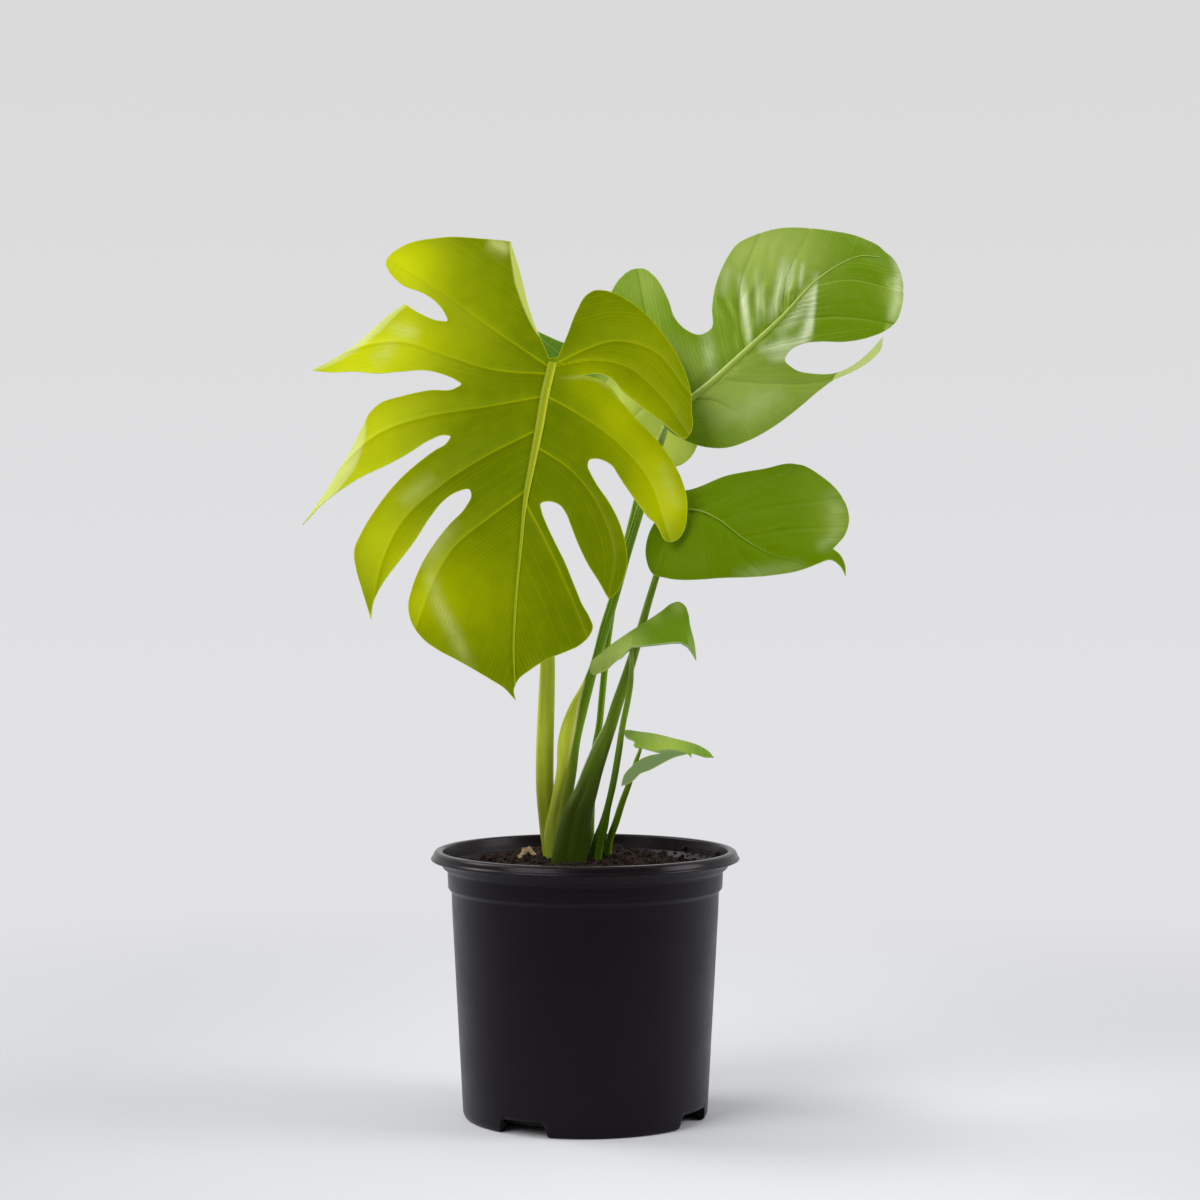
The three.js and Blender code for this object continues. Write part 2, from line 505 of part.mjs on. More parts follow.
/** The soil with a plain hole for each stalk and a bed for the chip. */
function soilGeometry() {
  let soil = soilBody();
  for (const name of Object.keys(STALKS)) soil = soil.subtract(toSolid(stalkTube(name, SEAT_GAP)));
  return toGeometry(soil.subtract(toSolid(chipGeometry(SEAT_GAP))));
}

// ---- the plant ----------------------------------------------------------------------------
function piece(name, geometry, color, roughness) {
  const flat = geometry.index ? geometry.toNonIndexed() : geometry;
  flat.computeVertexNormals();
  const mesh = new THREE.Mesh(flat, new THREE.MeshStandardMaterial({ color, roughness, metalness: 0 }));
  mesh.name = name;
  return mesh;
}

const STALK_COLOURS = {
  stalk_front: '#9cae3c', stalk_upper: '#7d9c34', stalk_middle: '#4a6b14',
  stalk_back: '#5a8518', stalk_small: '#5a8228', stalk_lowest: '#5f8c1c',
};

const pottedMonstera = new THREE.Group();
pottedMonstera.add(piece('pot', potGeometry(), '#1e1b1e', 0.45));
pottedMonstera.add(piece('soil', soilGeometry(), '#2a1d15', 1));
pottedMonstera.add(piece('bark_chip', closed(chipGeometry()), '#bfa47c', 0.9));
for (const [name, colour] of Object.entries(STALK_COLOURS)) {
  pottedMonstera.add(piece(name, closed(stalkTube(name)), colour, 0.4));
}
for (const [name, leaf] of Object.entries(LEAVES)) {
  pottedMonstera.add(piece(name, leafGeometry(leaf), leaf.colour, 0.4));
}

export default pottedMonstera;
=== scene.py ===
"""A young monstera in a black nursery pot: fine blades, stalks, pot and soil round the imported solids."""

import logging
import math
from dataclasses import dataclass
from enum import Enum
from functools import partial
from random import Random

import bmesh
import bpy
import numpy as np
from bmesh.types import BMEdge, BMesh, BMFace, BMVert
from bpy.types import Material, NodeSocket, NodeTree, Object
from mathutils import Euler, Matrix, Vector, noise
from mathutils.kdtree import KDTree


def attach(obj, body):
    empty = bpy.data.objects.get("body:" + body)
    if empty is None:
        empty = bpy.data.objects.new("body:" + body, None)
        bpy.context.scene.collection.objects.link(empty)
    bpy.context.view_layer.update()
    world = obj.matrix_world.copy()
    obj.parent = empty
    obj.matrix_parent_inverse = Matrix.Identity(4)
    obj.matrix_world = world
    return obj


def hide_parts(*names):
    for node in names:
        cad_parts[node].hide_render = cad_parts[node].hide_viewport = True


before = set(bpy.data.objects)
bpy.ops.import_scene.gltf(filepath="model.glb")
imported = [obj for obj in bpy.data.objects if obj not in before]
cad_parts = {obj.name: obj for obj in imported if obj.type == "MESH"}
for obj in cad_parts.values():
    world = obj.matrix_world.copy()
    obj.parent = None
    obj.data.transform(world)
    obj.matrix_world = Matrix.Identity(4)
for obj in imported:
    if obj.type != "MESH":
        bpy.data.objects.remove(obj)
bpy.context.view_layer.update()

Array = np.ndarray

LOG = logging.getLogger("potted_monstera")
BODY = "root"
MM = 0.001
TIP = 1

MATH, MIX, RAMP, NOISE = "ShaderNodeMath", "ShaderNodeMix", "ShaderNodeMapRange", "ShaderNodeTexNoise"
PLACE, MARK, BUMP = "ShaderNodeTexCoord", "ShaderNodeAttribute", "ShaderNodeBump"
SHARE, FIRST, SECOND = 0, 6, 7
COLOURS = {"data_type": "RGBA", "output": 2}
EASED = {"interpolation_type": "SMOOTHSTEP"}
PLANT_TISSUE = {"IOR": 1.45, "Subsurface_Weight": 0.08, "Subsurface_Radius": (1.0, 0.9, 0.1)}


# ---- the front view ---------------------------------------------------------------------------
@dataclass(frozen=True)
class FrontView:
    """The eye that the plant's outlines are measured from, in millimetres.

    Points of the view are steps of about 0.82 mm at the pot, x to the right and y down.
    """

    eye: tuple[float, float, float] = (12.1, -2372.0, 488.0)
    tilt: float = math.radians(1.54)
    distance: float = 2890.0
    centre: float = 600.0
    step: float = 0.823
    frame_size: float = 1200.0
    sensor: float = 36.0
    far_clip: float = 60.0

    def seen(self, x: Array, y: Array, depth: Array) -> Array:
        """Gives the points that are seen at (x, y), at given depths behind the pot's axis.

        Args:
            x: Steps to the right in the view.
            y: Steps down in the view.
            depth: Millimetres behind the axis.

        Returns:
            One row of millimetres for each point.
        """
        right = (np.asarray(x, float) - self.centre) / self.distance
        up = (self.centre - np.asarray(y, float)) / self.distance
        forward = math.cos(self.tilt) + up * math.sin(self.tilt)
        rise = up * math.cos(self.tilt) - math.sin(self.tilt)
        reach = (np.asarray(depth, float) - self.eye[1]) / forward
        depth = np.broadcast_to(depth, reach.shape)
        return np.stack([self.eye[0] + right * reach, depth, self.eye[2] + rise * reach], axis=-1)

    def make_camera(self) -> None:
        """Puts the scene's camera at this eye."""
        data = bpy.data.cameras.new("camera")
        data.sensor_width = self.sensor
        data.lens = self.sensor * self.distance / self.frame_size
        data.clip_end = self.far_clip
        camera = bpy.data.objects.new("camera", data)
        camera.location = Vector(self.eye) * MM
        camera.rotation_euler = Euler((math.pi / 2 - self.tilt, 0.0, 0.0))
        bpy.context.scene.collection.objects.link(camera)
        bpy.context.scene.camera = camera


VIEW = FrontView()


# ---- curves and meshes ------------------------------------------------------------------------
def unit(values: Array) -> Array:
    """Holds each value between 0 and 1."""
    return np.clip(values, 0, 1)


def bell(distance: Array, width: float) -> Array:
    """Gives 1 where the distance is 0, and less and less over the width."""
    return np.exp(-((distance / width) ** 2))


def ping_pong(values: Array) -> Array:
    """Gives the distance from each value to the nearest whole number."""
    return np.abs(values - np.round(values))


def turn_from(start: Array | float, angles: Array) -> Array:
    """Gives the turn from a starting angle to each angle, from -180 to 180 degrees."""
    return (angles - start + 180) % 360 - 180


def directions(rows: Array) -> Array:
    """Scales each row to a length of one."""
    return rows / np.linalg.norm(rows, axis=1)[:, None]


def smooth_through(places: Array | list, spacing: float, measured: int = 2) -> Array:
    """Runs a smooth curve through rows of values.

    Args:
        places: One row for each knot.
        spacing: The distance between samples along the curve.
        measured: How many of the first columns the distance is measured in.

    Returns:
        The sampled rows, both ends included.
    """
    values = np.array(places, float)
    steps = np.linalg.norm(np.diff(values[:, :measured], axis=0), axis=1)
    knots = np.concatenate([[0.0], np.cumsum(steps)])
    samples = np.linspace(0.0, knots[-1], max(2, math.ceil(knots[-1] / spacing) + 1))
    slopes = np.gradient(values, knots, axis=0)
    i = np.clip(np.searchsorted(knots, samples, side="right") - 1, 0, len(knots) - 2)
    width = (knots[i + 1] - knots[i])[:, None]
    t = (samples - knots[i])[:, None] / width
    starts = (2 * t**3 - 3 * t**2 + 1) * values[i] + (t**3 - 2 * t**2 + t) * width * slopes[i]
    ends = (3 * t**2 - 2 * t**3) * values[i + 1] + (t**3 - t**2) * width * slopes[i + 1]
    return starts + ends


def line_distance(points: Array, line: Array) -> tuple[Array, Array, Array]:
    """Measures points of the front view against a line through several places.

    Args:
        points: One (x, y) row for each point.
        line: One (x, y) row for each place.

    Returns:
        Each point's distance, the side of the line that it is on, as 1 or -1, and how far along the
        line its nearest place is, from 0 to 1.
    """
    nearest = np.full(len(points), np.inf)
    side = np.ones(len(points))
    place = np.zeros(len(points))
    lengths = np.linalg.norm(np.diff(line, axis=0), axis=1)
    passed = np.concatenate([[0.0], np.cumsum(lengths)]) / lengths.sum()
    for number, (start, end) in enumerate(zip(line[:-1], line[1:])):
        run, away = end - start, points - start
        share = unit(away @ run / (run @ run))
        distance = np.linalg.norm(away - share[:, None] * run, axis=1)
        closer = distance < nearest
        nearest = np.where(closer, distance, nearest)
        side = np.where(closer, np.sign(run[0] * away[:, 1] - run[1] * away[:, 0]), side)
        place = np.where(closer, passed[number] + share * (passed[number + 1] - passed[number]), place)
    return nearest, side, place


def rings_round(path: Array, sides: Array, fronts: Array, across: Array,
                through: Array) -> Array:
    """Places rings of points round a path.

    Args:
        path: One row of millimetres for each ring.
        sides: One direction across each ring.
        fronts: One direction through each ring.
        across: Millimetres along the sides, as rings by columns.
        through: Millimetres along the fronts, as rings by columns.

    Returns:
        Points in metres, as rings by columns by 3.
    """
    out = sides[:, None, :] * across[..., None] + fronts[:, None, :] * through[..., None]
    return (path[:, None, :] + out) * MM


def loft(bm: BMesh, rings: Array, marks: dict[str, Array]) -> list[BMFace]:
    """Draws a closed tube with smooth sides out of one disc, a ring at a time.

    Args:
        bm: The mesh that the tube is added to.
        rings: Points in metres, as rings by columns by 3.
        marks: Named float values for the vertices, as rings by columns.

    Returns:
        The tube's faces.
    """
    column = bm.verts.layers.int.new("column")
    layers = {name: bm.verts.layers.float.new(name) for name in marks}
    before = set(bm.faces)
    disc = bmesh.ops.create_circle(bm, cap_ends=True, radius=1.0, segments=rings.shape[1])["verts"]
    for i, vert in enumerate(disc):
        vert[column] = i
    verts, face = disc, disc[0].link_faces[0]
    for r, ring in enumerate(rings):
        if r:
            made = bmesh.ops.extrude_face_region(bm, geom=[face])["geom"]
            if r > 1:
                bmesh.ops.delete(bm, geom=[face], context="FACES_ONLY")
            verts = [item for item in made if isinstance(item, BMVert)]
            face = next(item for item in made if isinstance(item, BMFace))
        for vert in verts:
            vert.co = ring[vert[column]]
            for name, layer in layers.items():
                vert[layer] = marks[name][r, vert[column]]
    tube = [item for item in bm.faces if item not in before]
    for face in tube:
        face.smooth = len(face.verts) == 4
    return tube


def spun(profile: list[tuple[float, float]], segments: int) -> BMesh:
    """Spins a section round the axis into a closed, smooth skin.

    Args:
        profile: Radii and heights in millimetres, from the axis round to the axis.
        segments: How many steps the turn takes.

    Returns:
        The mesh, whose vertices carry their number in the section as station.
    """
    bm = bmesh.new()
    station = bm.verts.layers.int.new("station")
    verts = [bm.verts.new((radius * MM, 0.0, height * MM)) for radius, height in profile]
    for number, vert in enumerate(verts):
        vert[station] = number
    edges = [bm.edges.new(pair) for pair in zip(verts[:-1], verts[1:])]
    bmesh.ops.spin(bm, geom=verts + edges, cent=(0, 0, 0), axis=(0, 0, 1), dvec=(0, 0, 0),
                   angle=math.tau, steps=segments, use_merge=True)
    bmesh.ops.remove_doubles(bm, verts=bm.verts, dist=0.01 * MM)
    bmesh.ops.recalc_face_normals(bm, faces=bm.faces)
    for face in bm.faces:
        face.smooth = True
    return bm


def round_off(bm: BMesh, edges: list[BMEdge], width: float, segments: int) -> None:
    """Bevels edges by a width, in the mesh's units, in a number of segments."""
    bmesh.ops.bevel(bm, geom=edges, offset=width, offset_type="OFFSET", segments=segments, profile=0.5,
                    affect="EDGES", clamp_overlap=True, material=-1)


def finished_piece(name: str, bm: BMesh, materials: list[Material]) -> Object:
    """Turns a finished bmesh into a linked object at the origin.

    Args:
        name: The piece's name.
        bm: The mesh, in metres in the part's frame, which is freed.
        materials: The materials, in the order of the faces' numbers.

    Returns:
        The new object.
    """
    mesh = bpy.data.meshes.new(name)
    bm.to_mesh(mesh)
    bm.free()
    for material in materials:
        mesh.materials.append(material)
    piece = bpy.data.objects.new(name, mesh)
    bpy.context.scene.collection.objects.link(piece)
    return piece


def seat(piece: Object, slot: str, *nodes: str) -> None:
    """Lets a piece ride on the body and stand for CAD nodes.

    Args:
        piece: The finished object.
        slot: The record's material slot; not used.
        nodes: The CAD nodes that the piece replaces.
    """
    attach(piece, BODY)
    if nodes:
        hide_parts(*nodes)
    LOG.info("%s: %d faces", piece.name, len(piece.data.polygons))


# ---- materials --------------------------------------------------------------------------------
def colour(code: str) -> tuple[float, float, float, float]:
    """Turns an sRGB hex code into a linear colour.

    Args:
        code: Six hex digits after a hash.

    Returns:
        Red, green, blue and an alpha of one.
    """
    parts = [int(code[i:i + 2], 16) / 255 for i in (1, 3, 5)]
    red, green, blue = (p / 12.92 if p <= 0.04045 else ((p + 0.055) / 1.055) ** 2.4 for p in parts)
    return (red, green, blue, 1.0)


def add_node(tree: NodeTree, kind: str, inputs: dict | tuple = (), output: int | str = 0,
             **settings) -> NodeSocket:
    """Adds a node with its settings and links.

    Args:
        tree: The tree that the node goes into.
        kind: The node's type name.
        inputs: Numbers, hex codes or sockets to link from, in the inputs' order, or by the input's
            name or number.
        output: The wanted output's name or number.
        settings: The node's own properties.

    Returns:
        The output socket.
    """
    node = tree.nodes.new(kind)
    for name, value in settings.items():
        setattr(node, name, value)
    for key, value in (inputs if isinstance(inputs, dict) else dict(enumerate(inputs))).items():
        if isinstance(value, NodeSocket):
            tree.links.new(value, node.inputs[key])
        else:
            node.inputs[key].default_value = colour(value) if isinstance(value, str) else value
    return node.outputs[output]


class Finish:
    """A material under construction, with its main shader."""

    def __init__(self, name: str) -> None:
        """Starts a named material with a Principled shader."""
        self.material = bpy.data.materials.new(name)
        self.material.use_nodes = True
        self.tree = self.material.node_tree
        self.shader = self.tree.nodes["Principled BSDF"]
        self.add = partial(add_node, self.tree)

    def made(self, **values: float | tuple | NodeSocket) -> Material:
        """Sets the shader's sockets, named with underscores for spaces, and ends the material.

        Args:
            values: Values, or sockets to link from.

        Returns:
            The material.
        """
        for name, value in values.items():
            socket = self.shader.inputs[name.replace("_", " ")]
            if isinstance(value, NodeSocket):
                self.tree.links.new(value, socket)
            else:
                socket.default_value = value
        return self.material


@dataclass(frozen=True)
class BladeFinish:
    """The skin of one side of a leaf blade: its colours and how strongly each mark shows."""

    name: str
    # deep and light are the colours that the painted light and shade mix between, on top of the mottling
    deep: str
    light: str
    vein: str
    edge: str
    turned: str = "#bdd07c"
    # the colour of the painted sheen
    painted_sheen: str = "#c9d69a"
    tint: str = "#e4f0a8"
    roughness: float = 0.36
    specular: float = 0.35
    vein_share: float = 0.75
    vein_width: float = 1.0
    vein_depth: float = 3.0
    fine_share: float = 0.12
    rim_share: float = 0.45
    mottle: float = 0.14
    bump: float = 0.2

    def make(self) -> Material:
        """Builds the living leaf: veined green under a wax cuticle, lit through a little, with painted light,
        shade and sheen.

        Returns:
            The material.
        """
        finish = Finish(self.name)
        add = finish.add
        place = add(PLACE, output="Object")
        painted_lighting, turned, painted_sheen, main_vein, vein_gap, fine_vein, from_rib, from_edge = (
            add(MARK, output="Fac", attribute_name=name)
            for name in ("painted_lighting", "turned", "painted_sheen", "main_vein", "vein_gap", "fine_vein",
                         "rib_distance", "edge_distance")
        )
        # mottling in soft patches about 14 mm across, and cells drawn about 1.4 mm across to show
        patches = add(NOISE, {"Vector": place, "Scale": 1 / (14 * MM), "Detail": 3}, "Fac")
        cells = add(NOISE, {"Vector": place, "Scale": 1 / (1.4 * MM), "Detail": 2}, "Fac")
        shade = add(MATH, (patches, self.mottle, -self.mottle / 2), operation="MULTIPLY_ADD")
        # painted light and shade: soft patches where light falls on the blade or shines through it go to the
        # light colour, and shaded ones towards the deep colour
        lit = add(MATH, (painted_lighting, shade), operation="ADD", use_clamp=True)
        base = add(MIX, {SHARE: lit, FIRST: self.deep, SECOND: self.light}, **COLOURS)

        # fine veins run beside the main ones, wander by a third of their spacing and differ in strength
        wander = add(NOISE, {"Vector": place, "Scale": 1 / (22 * MM), "Detail": 2}, "Fac")
        fine_place = add(MATH, (wander, 0.7, fine_vein), operation="MULTIPLY_ADD")
        fine_off = add(MATH, (fine_place, 0.5), operation="PINGPONG")
        line = add(MATH, (fine_place,), operation="ROUND")
        strength = add("ShaderNodeTexWhiteNoise", {"W": line}, "Value", noise_dimensions="1D")
        fine = add(RAMP, (fine_off, 0.03, 0.3, strength, 0.0), **EASED)
        shown = add(MATH, (fine, self.fine_share), operation="MULTIPLY")
        base = add(MIX, {SHARE: shown, FIRST: base, SECOND: self.vein}, **COLOURS)

        # a main vein reaches 1.1 mm to each side by the midrib, and 0.45 mm at the end of its run
        off = add(MATH, (main_vein, 0.5), operation="PINGPONG")
        off = add(MATH, (off, vein_gap), operation="MULTIPLY")
        reach = add(RAMP, (from_rib, 0.0, 110.0, 1.1 * self.vein_width, 0.45 * self.vein_width))
        vein = add(RAMP, (off, 0.15, reach, 1.0, 0.0), **EASED)
        faint = add(RAMP, (from_rib, 10.0, 90.0, self.vein_share, 0.4 * self.vein_share))
        shown = add(MATH, (vein, faint), operation="MULTIPLY")
        base = add(MIX, {SHARE: shown, FIRST: base, SECOND: self.vein}, **COLOURS)

        # painted sheen: pale streaks standing in for highlights, broken up by the patches and the fine veins
        sheen_patches = add(RAMP, (patches, 0.25, 0.6, 0.6, 1.0))
        broken = add(MATH, (fine, -0.55, sheen_patches), operation="MULTIPLY_ADD", use_clamp=True)
        sheen_share = add(MATH, (painted_sheen, broken), operation="MULTIPLY", use_clamp=True)
        base = add(MIX, {SHARE: sheen_share, FIRST: base, SECOND: self.painted_sheen}, **COLOURS)
        # the turned colour: the underside's own colour on strips turned to the viewer, a painted sheen on the
        # lime leaf's edges that roll away, and on the lowest leaf's near half the underside's grey-green
        # darkened as painted shade
        rolled = add(RAMP, (turned, 0.02, 0.3), **EASED)
        base = add(MIX, {SHARE: rolled, FIRST: base, SECOND: self.turned}, **COLOURS)
        rim = add(RAMP, (from_edge, 0.2, 0.9, self.rim_share, 0.0), **EASED)
        base = add(MIX, {SHARE: rim, FIRST: base, SECOND: self.edge}, **COLOURS)

        dull = add(RAMP, (patches, 0.3, 0.7, self.roughness - 0.05, self.roughness + 0.07))
        sunk = add(RAMP, (off, 0.0, 2.0 * self.vein_width, 0.0, self.vein_depth), **EASED)
        swell = add(MATH, (fine_off, 1.5, sunk), operation="MULTIPLY_ADD")
        swell = add(MATH, (cells, 0.6, swell), operation="MULTIPLY_ADD")
        normal = add(BUMP, {"Height": swell, "Strength": self.bump, "Distance": 0.3 * MM})
        return finish.made(Base_Color=base, Roughness=dull, Normal=normal,
                           Specular_IOR_Level=self.specular, Specular_Tint=colour(self.tint),
                           Subsurface_Scale=1.2 * MM, **PLANT_TISSUE)


@dataclass(frozen=True)
class RibFinish:
    """The firm midrib on a blade."""

    name: str
    body: str
    # the colour of the painted highlight, which the streaks share a little
    painted_rib_highlight: str
    roughness: float = 0.33
    specular: float = 0.35

    def make(self) -> Material:
        """Builds the midrib: pale waxy tissue, faint lengthwise streaks, a painted highlight on the left.

        Returns:
            The material.
        """
        finish = Finish(self.name)
        add = finish.add
        place = add(PLACE, output="Object")
        painted_rib_highlight = add(MARK, output="Fac", attribute_name="painted_rib_highlight")
        # streaks about 3 mm apart
        streaks = add(NOISE, {"Vector": place, "Scale": 1 / (3 * MM), "Detail": 3}, "Fac")
        # painted highlight: the rib's left side takes the pale highlight colour, and the streaks a little of
        # it
        share = add(MATH, (streaks, 0.2, painted_rib_highlight), operation="MULTIPLY_ADD", use_clamp=True)
        base = add(MIX, {SHARE: share, FIRST: self.body, SECOND: self.painted_rib_highlight}, **COLOURS)
        normal = add(BUMP, {"Height": streaks, "Strength": 0.2, "Distance": 0.2 * MM})
        return finish.made(Base_Color=base, Roughness=self.roughness, Normal=normal,
                           Specular_IOR_Level=self.specular, Subsurface_Scale=1.5 * MM, **PLANT_TISSUE)


@dataclass(frozen=True)
class StalkFinish:
    """The skin of a leaf stalk and of the sheath at its foot."""

    name: str
    low: str
    high: str
    sheath: str
    foot: str
    pale: str
    tint: str = "#d8e69a"
    roughness: float = 0.36
    specular: float = 0.28

    def make(self) -> Material:
        """Builds the stalk: smooth waxy green with lengthwise fibres, a paler sheath and pale margins.

        Returns:
            The material.
        """
        finish = Finish(self.name)
        add = finish.add
        height, sheath, pale, around, along = (
            add(MARK, output="Fac", attribute_name=name)
            for name in ("height", "sheath", "pale", "around", "along")
        )
        base = add(MIX, {SHARE: height, FIRST: self.low, SECOND: self.high}, **COLOURS)
        base = add(MIX, {SHARE: sheath, FIRST: base, SECOND: self.sheath}, **COLOURS)
        # darker towards the soil: the colour runs from high to low down the stalk, and to the foot colour
        # over the lowest part of its height
        old = add(RAMP, (height, 0.12, 0.4, 0.9, 0.0), **EASED)
        base = add(MIX, {SHARE: old, FIRST: base, SECOND: self.foot}, **COLOURS)
        # fibres about 0.8 mm apart that run the length of the stalk
        strand = add("ShaderNodeCombineXYZ", {"X": around, "Y": along})
        look = {"Vector": strand, "Scale": 1.0, "Detail": 4, "Roughness": 0.6}
        fibres = add(NOISE, look, "Fac")
        shade = add(RAMP, (fibres, 0.3, 0.7, 0.86, 1.1))
        base = add("ShaderNodeVectorMath", {0: base, "Scale": shade}, operation="SCALE")
        base = add(MIX, {SHARE: pale, FIRST: base, SECOND: self.pale}, **COLOURS)
        normal = add(BUMP, {"Height": fibres, "Strength": 0.25, "Distance": 0.3 * MM})
        return finish.made(Base_Color=base, Roughness=self.roughness, Normal=normal,
                           Specular_IOR_Level=self.specular, Specular_Tint=colour(self.tint),
                           Subsurface_Scale=2.0 * MM, **PLANT_TISSUE)


@dataclass(frozen=True)
class NurseryPlastic:
    """Blow-moulded recycled polyethylene, black with a satin face.

    Dust gathers over the heights dusty, and hands have rubbed the lip smoother from the heights
    rubbed up, all in millimetres.
    """

    body: str = "#0d090c"
    worn: str = "#262427"
    dust: str = "#5b524a"
    tint: str = "#f6e8f4"
    roughness: float = 0.38
    specular: float = 0.16
    sheen: float = 0.08
    dusty: tuple[float, float] = (196.0, 212.0)
    rubbed: tuple[float, float] = (211.5, 212.5)
    scuff_length: float = 30.0
    scuff_height: float = 1.5

    def make(self) -> Material:
        """Builds the pot's plastic: a soft sheen, hair scuffs round the wall and dust by the lip.

        Returns:
            The material.
        """
        finish = Finish("black_nursery_polyethylene")
        add = finish.add
        place = add(PLACE, output="Object")
        # moulded grain 0.9 mm across, and cloudy patches of gloss 45 mm across
        fine = add(NOISE, {"Vector": place, "Scale": 1 / (0.9 * MM), "Detail": 2}, "Fac")
        look = {"Vector": place, "Scale": 1 / (45 * MM), "Detail": 4, "Roughness": 0.6}
        cloud = add(NOISE, look, "Fac")
        # scuffs are long and level, so their pattern is squeezed in height
        length, height = 1 / self.scuff_length / MM, 1 / self.scuff_height / MM
        level = add("ShaderNodeMapping", {"Vector": place, "Scale": (length, length, height)})
        scuffs = add(NOISE, {"Vector": level, "Scale": 1.0, "Detail": 5, "Roughness": 0.7}, "Fac")
        scuffed = add(RAMP, (scuffs, 0.6, 0.78, 0.0, 0.35))
        base = add(MIX, {SHARE: scuffed, FIRST: self.body, SECOND: self.worn}, **COLOURS)
        # specks of dust 2.5 mm across
        up = add("ShaderNodeSeparateXYZ", {"Vector": place}, "Z")
        near_lip, on_lip = (
            add(RAMP, (up, low * MM, high * MM)) for low, high in (self.dusty, self.rubbed)
        )
        look = {"Vector": place, "Scale": 1 / (2.5 * MM), "Detail": 4, "Roughness": 0.75}
        specks = add(RAMP, (add(NOISE, look, "Fac"), 0.62, 0.78, 0.0, 0.4))
        share = add(MATH, (near_lip, specks), operation="MULTIPLY")
        base = add(MIX, {SHARE: share, FIRST: base, SECOND: self.dust}, **COLOURS)
        gloss = add(RAMP, (cloud, 0.3, 0.7, self.roughness - 0.06, self.roughness + 0.08))
        dull = add(MATH, (on_lip, -0.14, gloss), operation="MULTIPLY_ADD")
        dull = add(MATH, (scuffed, 0.5, dull), operation="MULTIPLY_ADD", use_clamp=True)
        rise = add(MATH, (cloud, 2.0, fine), operation="MULTIPLY_ADD")
        normal = add(BUMP, {"Height": rise, "Strength": 0.12, "Distance": 0.2 * MM})
        return finish.made(Base_Color=base, Roughness=dull, Normal=normal, IOR=1.5,
                           Specular_IOR_Level=self.specular, Specular_Tint=colour(self.tint),
                           Sheen_Weight=self.sheen, Sheen_Roughness=0.4)


@dataclass(frozen=True)
class EarthFinish:
    """Potting mix or bark: rough, matte and mixed in colour, with a grain in millimetres."""

    name: str
    dark: str
    light: str
    stretch: tuple[float, float, float] = (1.0, 1.0, 1.0)
    grain: float = 1.2
    roughness: float = 0.95
    lean: tuple[float, float, float] = (0.7, 0.0, 0.35)

    def make(self) -> Material:
        """Builds peat, coir or bark: dry fibres, light on dark, with no shine.

        Returns:
            The material.
        """
        finish = Finish(self.name)
        add = finish.add
        shade = add(MARK, output="Fac", attribute_name="shade")
        place = add(PLACE, output="Object")
        turned = add("ShaderNodeMapping", {"Vector": place, "Scale": self.stretch, "Rotation": self.lean})
        look = {"Vector": turned, "Scale": 1 / (self.grain * MM), "Detail": 5, "Roughness": 0.7}
        fibres = add(NOISE, look, "Fac")
        spread = add(RAMP, (fibres, 0.35, 0.72))
        share = add(MATH, (spread, 0.26, shade), operation="MULTIPLY_ADD", use_clamp=True)
        base = add(MIX, {SHARE: share, FIRST: self.dark, SECOND: self.light}, **COLOURS)
        normal = add(BUMP, {"Height": fibres, "Strength": 0.8, "Distance": 0.6 * MM})
        return finish.made(Base_Color=base, Roughness=self.roughness, Normal=normal,
                           Specular_IOR_Level=0.25)


